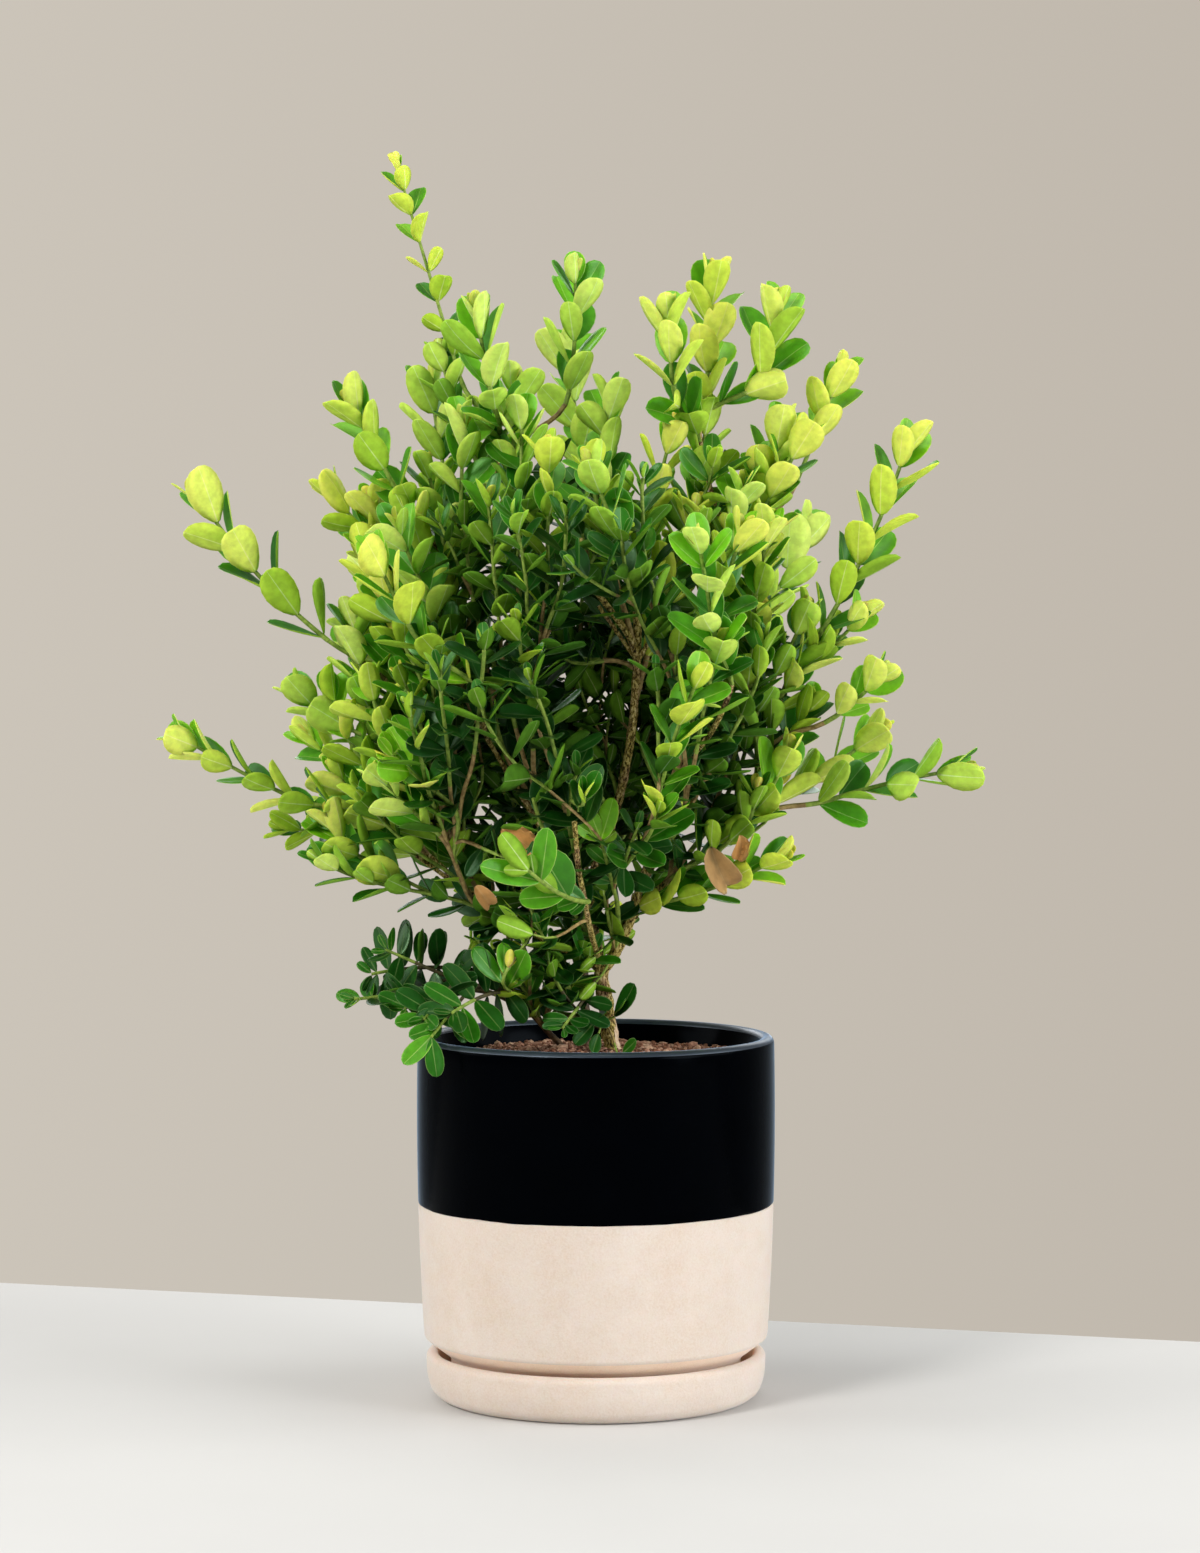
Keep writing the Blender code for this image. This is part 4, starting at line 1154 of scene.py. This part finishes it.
    def add_lone_leaves(self):
        rng = self.rng
        for base, tip, facing, age in LONE_LEAVES:
            base, way = np.array(base), np.array(tip) - np.array(base)
            if self.gap_to_wood(base) > 0.0012:
                self.grow_to(base, unit(way), LONE_L, LONE_R, LONE_GREEN)
            length = np.linalg.norm(way)
            narrow, fold, cup, curl, twist = 0.66, 0.16, 0.0, rng.uniform(-0.5, 0.1), rng.gauss(0.0, 0.2)
            self.leaves.add(base, unit(way), unit(np.array(facing)), length, length * 0.50, narrow, fold, cup,
                            curl, twist, age, 0)

    def add_dead_leaves(self):
        rng = self.rng
        for base, way, length in DEAD_LEAVES:
            normal = unit(np.array((0.2, -0.9, 0.3)) + 0.4 * self.scatter(1.0))
            narrow, fold, cup = 0.7, rng.uniform(0.5, 0.9), rng.uniform(0.3, 0.6)
            curl, twist = rng.uniform(0.6, 1.3), rng.uniform(-1.2, 1.2)
            self.leaves.add(np.array(base), unit(np.array(way)), normal, length, length * 0.66, narrow, fold,
                            cup, curl, twist, DEAD, rng.randrange(len(TONES)))


def named(prefixes):
    return sorted(n for n in NODES if n.split("_")[0] in prefixes)


def bark_relief(spot, angle):
    place = Vector(spot)
    ridge = Vector((math.cos(angle) * 2.2, math.sin(angle) * 2.2, place.z * 95.0))
    return 0.16 * noise.noise(ridge) + 0.13 * noise.noise(place * 620.0) + 0.16 * noise.noise(place * 190.0)


# The limbs are drawn a little slimmer than their solids, by these shares.
SLIM = {"trunk": 0.84, "stem_skirt": 0.66, "stem_back": 0.80}
BOUGH_SLIM = 0.92
ROOT_BACK = 0.007  # a bough leaves its carrier's middle line this far before it is nearest
ROOT_ON = 0.005  # and follows its own from here on
ROOT_RINGS = 14


def joined(line, radii, carriers):
    """The limb with its root drawn smoothly out of the limb that carries it."""
    gaps = [np.min(np.linalg.norm(other - line[0], axis=1)) for other, _ in carriers]
    other, other_radii = carriers[int(np.argmin(gaps))]
    at = int(np.argmin(np.linalg.norm(other - line[0], axis=1)))
    at = max(0, at - int(ROOT_BACK / LIMB_STEP))
    on = int(ROOT_ON / LIMB_STEP)
    span = np.linalg.norm(line[on] - other[at])
    root = bezier(other[at], other[at] + 0.4 * span * tangents(other)[at],
                  line[on] - 0.4 * span * tangents(line)[on], line[on], ROOT_RINGS)
    swell = min(other_radii[at] * 0.85, radii[on] * 1.35)
    root_radii = np.linspace(swell, radii[on], ROOT_RINGS - 1)
    return np.concatenate([root[:-1], line[on:]]), np.concatenate([root_radii, radii[on:]])


def grow_limbs(shrub):
    carriers = []
    names = named(("trunk", "stem", "bough"))
    for name in sorted(names, key=lambda n: (n.startswith("bough"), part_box(n)[0][2])):
        line, radii = fit_axis(name, 3)
        line = resample(line, max(12, int(cumulative(line)[-1] / LIMB_STEP)))
        radii = np.interp(np.linspace(0, 1, len(line)), np.linspace(0, 1, len(radii)), radii)
        radii = radii * SLIM.get(name, BOUGH_SLIM)
        if name.startswith("bough"):
            line, radii = joined(line, radii, carriers)
        carriers.append((line, radii))
        kind = DARK_BARK if name in ("stem_skirt", "stem_back") else BARK
        shrub.bark.add(line, radii, 20 if name == "trunk" else 14, kind, bark_relief, CUT_WOOD, WOUND)
        shrub.remember(line[len(line) // 4::4], radii[len(line) // 4::4])
    for base, tip, radius in SNAGS:
        line = np.linspace(np.array(base), np.array(tip), 12)
        radii = np.linspace(radius, 0.7 * radius, len(line))
        shrub.bark.add(line, radii, 10, BARK, bark_relief, CUT_WOOD)


def mass_shape(name):
    low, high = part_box(name)
    low, high = np.array(low), np.array(high)
    return 0.5 * (low + high), 0.5 * (high - low)


def fan_way(spot, lift=0.35):
    return unit(unit(spot - FAN_FOOT) + np.array((0.0, 0.0, lift)))


def grow_main_twigs(shrub, masses):
    """A branch from the limbs into each mass, the lowest masses first."""
    for middle, _ in sorted(masses, key=lambda mass: mass[0][2]):
        shrub.grow_to(middle, fan_way(middle), BRANCH_L, BRANCH_R, 0.0, BARK)


def grow_long_shoots(shrub, masses):
    """Long leafy shoots that fan out to tips on the outer side of each mass."""
    rng = shrub.rng
    tips = []
    for middle, half in masses:
        outward = fan_way(middle, 0.2)
        for _ in range(TIP_TRIES):
            v = unit(shrub.scatter(1.0))
            spot = middle + half * v * rng.uniform(0.55, 0.98)
            if v @ outward < 0.0 or not in_crown(spot, 0.96):
                continue
            if all(np.linalg.norm(spot - tip) > TIP_GAP for tip in tips):
                tips.append(spot)
    tips.sort(key=lambda tip: np.linalg.norm(tip - FAN_FOOT))
    for tip in tips:
        way = unit(fan_way(tip, 0.45) + shrub.scatter(0.16))
        light = openness(tip)
        reach = mix(*SHOOT_L, smooth_step(0.22, 0.30, tip[2]))
        line = shrub.grow_to(tip, way, reach, SHOOT_R, mix(*SHOOT_GREEN, light))
        # Open, well-lit tips get brighter, younger leaves: partly their own new growth, partly painted light.
        vigour = min(1.0, max(0.0, 0.05 + 0.92 * light + rng.gauss(0.0, 0.16)))
        size = rng.uniform(0.88, 1.08) * mix(0.84, 1.02, light)
        bare = max(0.008, cumulative(line)[-1] - rng.uniform(*SHOOT_LEAFY))
        shrub.leafy(line, bare, Habit(vigour, size, opening=mix(1.35, 1.0, light)), kept=in_crown)


def grow_inner_twigs(shrub, spaces, tries, gap):
    """Short twigs with older leaves wherever these spaces would be bare."""
    rng = shrub.rng
    low = np.min([middle - half for middle, half in spaces], axis=0)
    high = np.max([middle + half for middle, half in spaces], axis=0)
    for _ in range(tries):
        spot = np.array([rng.uniform(low[k], high[k]) for k in range(3)])
        if not in_crown(spot, 0.92) or not in_any(spot, spaces, 0.92):
            continue
        if np.min(np.linalg.norm(shrub.leaf_spots.all() - spot, axis=1)) < gap:
            continue
        way = unit(fan_way(spot, 0.3) + shrub.scatter(0.45))
        line = shrub.grow_to(spot, way, INNER_L, INNER_R, INNER_GREEN)
        # Inner twigs with less light get darker leaves: partly their own, partly painted shade.
        vigour = min(0.5, max(0.0, 0.55 * openness(spot) + rng.gauss(0.0, 0.1)))
        habit = Habit(vigour, rng.uniform(0.66, 0.92), breadth=0.95, opening=1.5)
        bare = max(0.003, cumulative(line)[-1] - rng.uniform(*INNER_LEAFY))
        shrub.leafy(line, bare, habit, kept=in_crown)


def grow_shoots(shrub):
    """The leafy shoots along the slim solids that stand out of the crown, and the sprigs."""
    sprigs = []
    for name in named(("shoot",)):
        habit = SHOOT_HABITS.get(name, Habit())
        line = resample(fit_axis(name, 2)[0], SHOOT_POINTS)
        beyond = TIP_LEAF * habit.size / cumulative(line)[-1]
        line = line[:-max(1, int(SHOOT_POINTS * beyond))]
        line = line + np.array(SHIFTS.get(name, (0.0, 0.0, 0.0)))
        sprigs.append((name, line, habit))
    for name, (base, tip, habit) in SPRIGS.items():
        base, tip = np.array(base), np.array(tip)
        span = np.linalg.norm(tip - base)
        way = unit(unit(tip - base) + (0.0, 0.0, 0.0 if habit.face else 0.35))
        line = bezier(base, base + 0.33 * span * unit(tip - base), tip - 0.33 * span * way, tip, 16)
        sprigs.append((name, line, habit))
    limbs = shrub.wood.count
    for dark in (True, False):
        for name, line, habit in sprigs:
            if (habit.wood == DARK) == dark:
                grow_sprig(shrub, line, habit, PLACED.get(name))
        if dark:
            shrub.wood.count = limbs  # nothing of the crown grows from the dark sprigs


def grow_sprig(shrub, line, habit, placed):
    """A sprig along this line, whose leaves go on along the twig that carries it."""
    length = cumulative(line)[-1]
    whole = line
    if shrub.gap_to_wood(line[0]) > 0.001:
        stem = shrub.grow_to(line[0], tangents(line)[0], STEM_L, STEM_R, habit.trail, habit.wood)
        whole = np.concatenate([stem[:-1], line])
    radii = np.linspace(*SPRIG_R, len(line)) * (0.55 + 0.45 * habit.size)
    shrub.add_twig(line, radii, DARK_GREEN if habit.wood == DARK else length, habit.wood)
    if placed:
        shrub.place_leaves(line, placed)
        return
    bare = cumulative(whole)[-1] - length - habit.trail
    shrub.leafy(whole, max(0.002, bare), habit, shrub.rng.gauss(0.0, 0.35))


def make_shrub():
    shrub = Shrub()
    grow_limbs(shrub)
    masses = [mass_shape(name) for name in named(("foliage",))]
    grow_main_twigs(shrub, masses)
    grow_shoots(shrub)
    grow_long_shoots(shrub, masses)
    grow_inner_twigs(shrub, INNER_CROWN + masses, INNER_TRIES, INNER_GAP)
    grow_inner_twigs(shrub, DENSE_CROWN, DENSE_TRIES, DENSE_GAP)
    shrub.add_lone_leaves()
    shrub.add_dead_leaves()
    bark = bark_material()
    dark_bark = twig_material("dark_bark", (0.034, 0.020, 0.009), (0.150, 0.085, 0.034))
    limb_kinds = [bark, cut_wood_material(), dark_bark]
    limbs = named(("trunk", "stem", "bough"))
    shown("trunk_and_boughs", shrub.bark.mesh("trunk_and_boughs"), limb_kinds, limbs)
    twig_kinds = [bark,
                  twig_material("brown_twig", (0.20, 0.13, 0.045), (0.44, 0.32, 0.12)),
                  twig_material("green_twig", (0.13, 0.22, 0.026), (0.30, 0.42, 0.065)),
                  twig_material("dark_twig", (0.040, 0.036, 0.014), (0.110, 0.095, 0.036))]
    shown("twigs", shrub.twigs.mesh("twigs"), twig_kinds)
    make_foliage(shrub.leaves.columns())


def make_foliage(leaf):
    """The leaves, joined into pieces by age. The high masses give way to the fresh leaves, the low ones
    to the old."""
    materials = leaf_materials()
    high = [name for name in named(("foliage",)) if not name.endswith("low")]
    low = [name for name in named(("foliage",)) if name.endswith("low")]
    stands = {"new": ("young_leaves", named(("shoot",))), "fresh": ("leaves", high),
              "old": ("old_leaves", low), "dead": ("old_leaves", ())}
    for kind, ages in LEAF_KINDS.items():
        chosen = np.flatnonzero(np.isin(leaf["age"][:, 0], ages))
        parts = max(1, math.ceil(len(chosen) / LEAVES_A_PIECE))
        for i in range(parts):
            picked = {column: values[chosen[i::parts]] for column, values in leaf.items()}
            make_leaves("leaves_%s_%d" % (kind, i + 1), picked, materials, *stands[kind])


# ---- floor, light and camera ---------------------------------------------------------------


TABLE_HALF = 2.2
TABLE_FRONT_Y = -2.6
TABLE_BACK_Y = (0.841, -0.452)  # at its left and its right end

WORLD_LIGHT = 0.24
BACKDROP_HALF = 0.15  # sideways, between its two colours
LIGHT_AIM = (0.0, 0.0, 0.24)
# Place, size, power and colour of each soft light.
LIGHTS = {
    "key": ((-1.55, -1.90, 1.70), 0.85, 48.0, (1.0, 0.98, 0.95)),
    "fill_right": ((2.2, -1.4, 0.85), 1.3, 42.0, (0.98, 0.99, 1.0)),
    "side_right": ((2.6, -0.2, 1.2), 1.6, 24.0, (0.98, 0.99, 1.0)),
    "side_left": ((-2.6, -0.2, 1.2), 1.6, 20.0, (1.0, 0.99, 0.97)),
    "back_right": ((0.62, 2.3, 1.0), 0.8, 5.0, (0.94, 0.97, 1.0)),
    "back_left": ((-0.62, 2.3, 1.0), 0.8, 8.0, (0.94, 0.97, 1.0)),
    "top": ((-0.2, 0.1, 2.6), 1.4, 24.0, (1.0, 0.99, 0.96)),
}

CAMERA_PLACE = (0.0016, -1.608, 0.304)
CAMERA_PITCH_DEG = 2.13
FOCAL_PIXELS = 4100.0
LONG_SIDE = 1553.0  # of the picture, in pixels
SENSOR_MM = 36.0


def make_floor():
    """A pale table top, whose back edge lies a little way behind the pot."""
    surface = Surface("pale_floor", 0.9, 0.0)
    surface.mottle(surface.noise(6.0), 0.3, 0.7, (0.634, 0.629, 0.620), (0.651, 0.646, 0.637))
    points = [(-TABLE_HALF, TABLE_FRONT_Y, 0.0), (TABLE_HALF, TABLE_FRONT_Y, 0.0),
              (TABLE_HALF, TABLE_BACK_Y[1], 0.0), (-TABLE_HALF, TABLE_BACK_Y[0], 0.0)]
    mesh = mesh_from("table_top", points, [(0, 1, 2, 3)], smooth=False)
    mesh.materials.append(surface.material)
    link(bpy.data.objects.new("table_top", mesh))


def area_light(name, place, aim, size, energy, colour):
    data = bpy.data.lights.new(name, "AREA")
    data.shape = "DISK"
    data.size = size
    data.energy = energy
    data.color = colour
    lamp = link(bpy.data.objects.new(name, data))
    lamp.visible_camera = False
    lamp.location = place
    lamp.rotation_euler = (Vector(aim) - Vector(place)).to_track_quat("-Z", "Y").to_euler()


def make_world():
    """A warm grey backdrop, darker to the right, and a dim warm light from all round."""
    world = bpy.data.worlds.new("studio")
    bpy.context.scene.world = world
    world.use_nodes = True
    tree = world.node_tree
    tree.nodes.clear()
    place = add_node(tree, "TexCoord", {})
    split = add_node(tree, "SeparateXYZ", {"Vector": place.outputs["Generated"]})
    share = add_node(tree, "MapRange", {"From Min": -BACKDROP_HALF, "From Max": BACKDROP_HALF,
                                        "Value": split.outputs["X"]})
    tint = add_node(tree, "Mix", {"Factor": share.outputs["Result"], "A": (0.600, 0.553, 0.485, 1.0),
                                  "B": (0.530, 0.482, 0.418, 1.0)}, data_type="RGBA")
    seen = add_node(tree, "Background", {"Color": tint.outputs["Result"]})
    lit = add_node(tree, "Background", {"Color": (1.0, 0.98, 0.95, 1.0), "Strength": WORLD_LIGHT})
    path = add_node(tree, "LightPath", {})
    both = add_node(tree, "MixShader", {"Fac": path.outputs["Is Camera Ray"], 1: lit.outputs["Background"],
                                        2: seen.outputs["Background"]})
    add_node(tree, "OutputWorld", {"Surface": both.outputs["Shader"]})


def make_light():
    make_world()
    for name, (place, size, power, colour) in LIGHTS.items():
        area_light(name, place, LIGHT_AIM, size, power, colour)


def make_camera():
    data = bpy.data.cameras.new("camera")
    data.sensor_width = SENSOR_MM
    data.lens = FOCAL_PIXELS * SENSOR_MM / LONG_SIDE
    data.clip_start = 0.05
    camera = link(bpy.data.objects.new("camera", data))
    camera.location = CAMERA_PLACE
    camera.rotation_euler = (math.radians(90.0 - CAMERA_PITCH_DEG), 0.0, 0.0)
    bpy.context.scene.camera = camera


def main():
    clay = clay_material("bare_clay", (1.0, 1.0, 1.0))
    # Painted bounce light: the clay of the pot's foot is lighter and warmer.
    foot_painted_light_clay = clay_material("foot_painted_light_clay", (1.28, 1.13, 0.98))
    # Painted shade: the clay inside the saucer is darker and warmer.
    saucer_painted_shade_clay = clay_material("saucer_inside_painted_shade_clay", (1.02, 0.80, 0.60))
    glaze = glaze_material("dark_glaze", (0.0002, 0.0004, 0.0009), 0.012, 0.18)
    # Painted highlight: the lip's glaze is a lighter blue-grey than the body's, and it also has more
    # specular.
    lip = glaze_material("lip_painted_highlight", (0.015, 0.022, 0.034), 0.90, 0.38)
    make_pot([clay, foot_painted_light_clay], [glaze, lip])
    make_saucer([clay, saucer_painted_shade_clay])
    chips = [chip_material("peat_crumb", (0.070, 0.030, 0.016), (0.400, 0.172, 0.100)),
             chip_material("bark_chip", (0.240, 0.115, 0.070), (0.560, 0.310, 0.210)),
             chip_material("pale_chip", (0.400, 0.225, 0.140), (0.800, 0.530, 0.370))]
    make_soil(soil_material(), chips)
    make_shrub()
    make_floor()
    make_light()
    make_camera()
    bpy.context.scene.view_settings.view_transform = "Standard"


main()
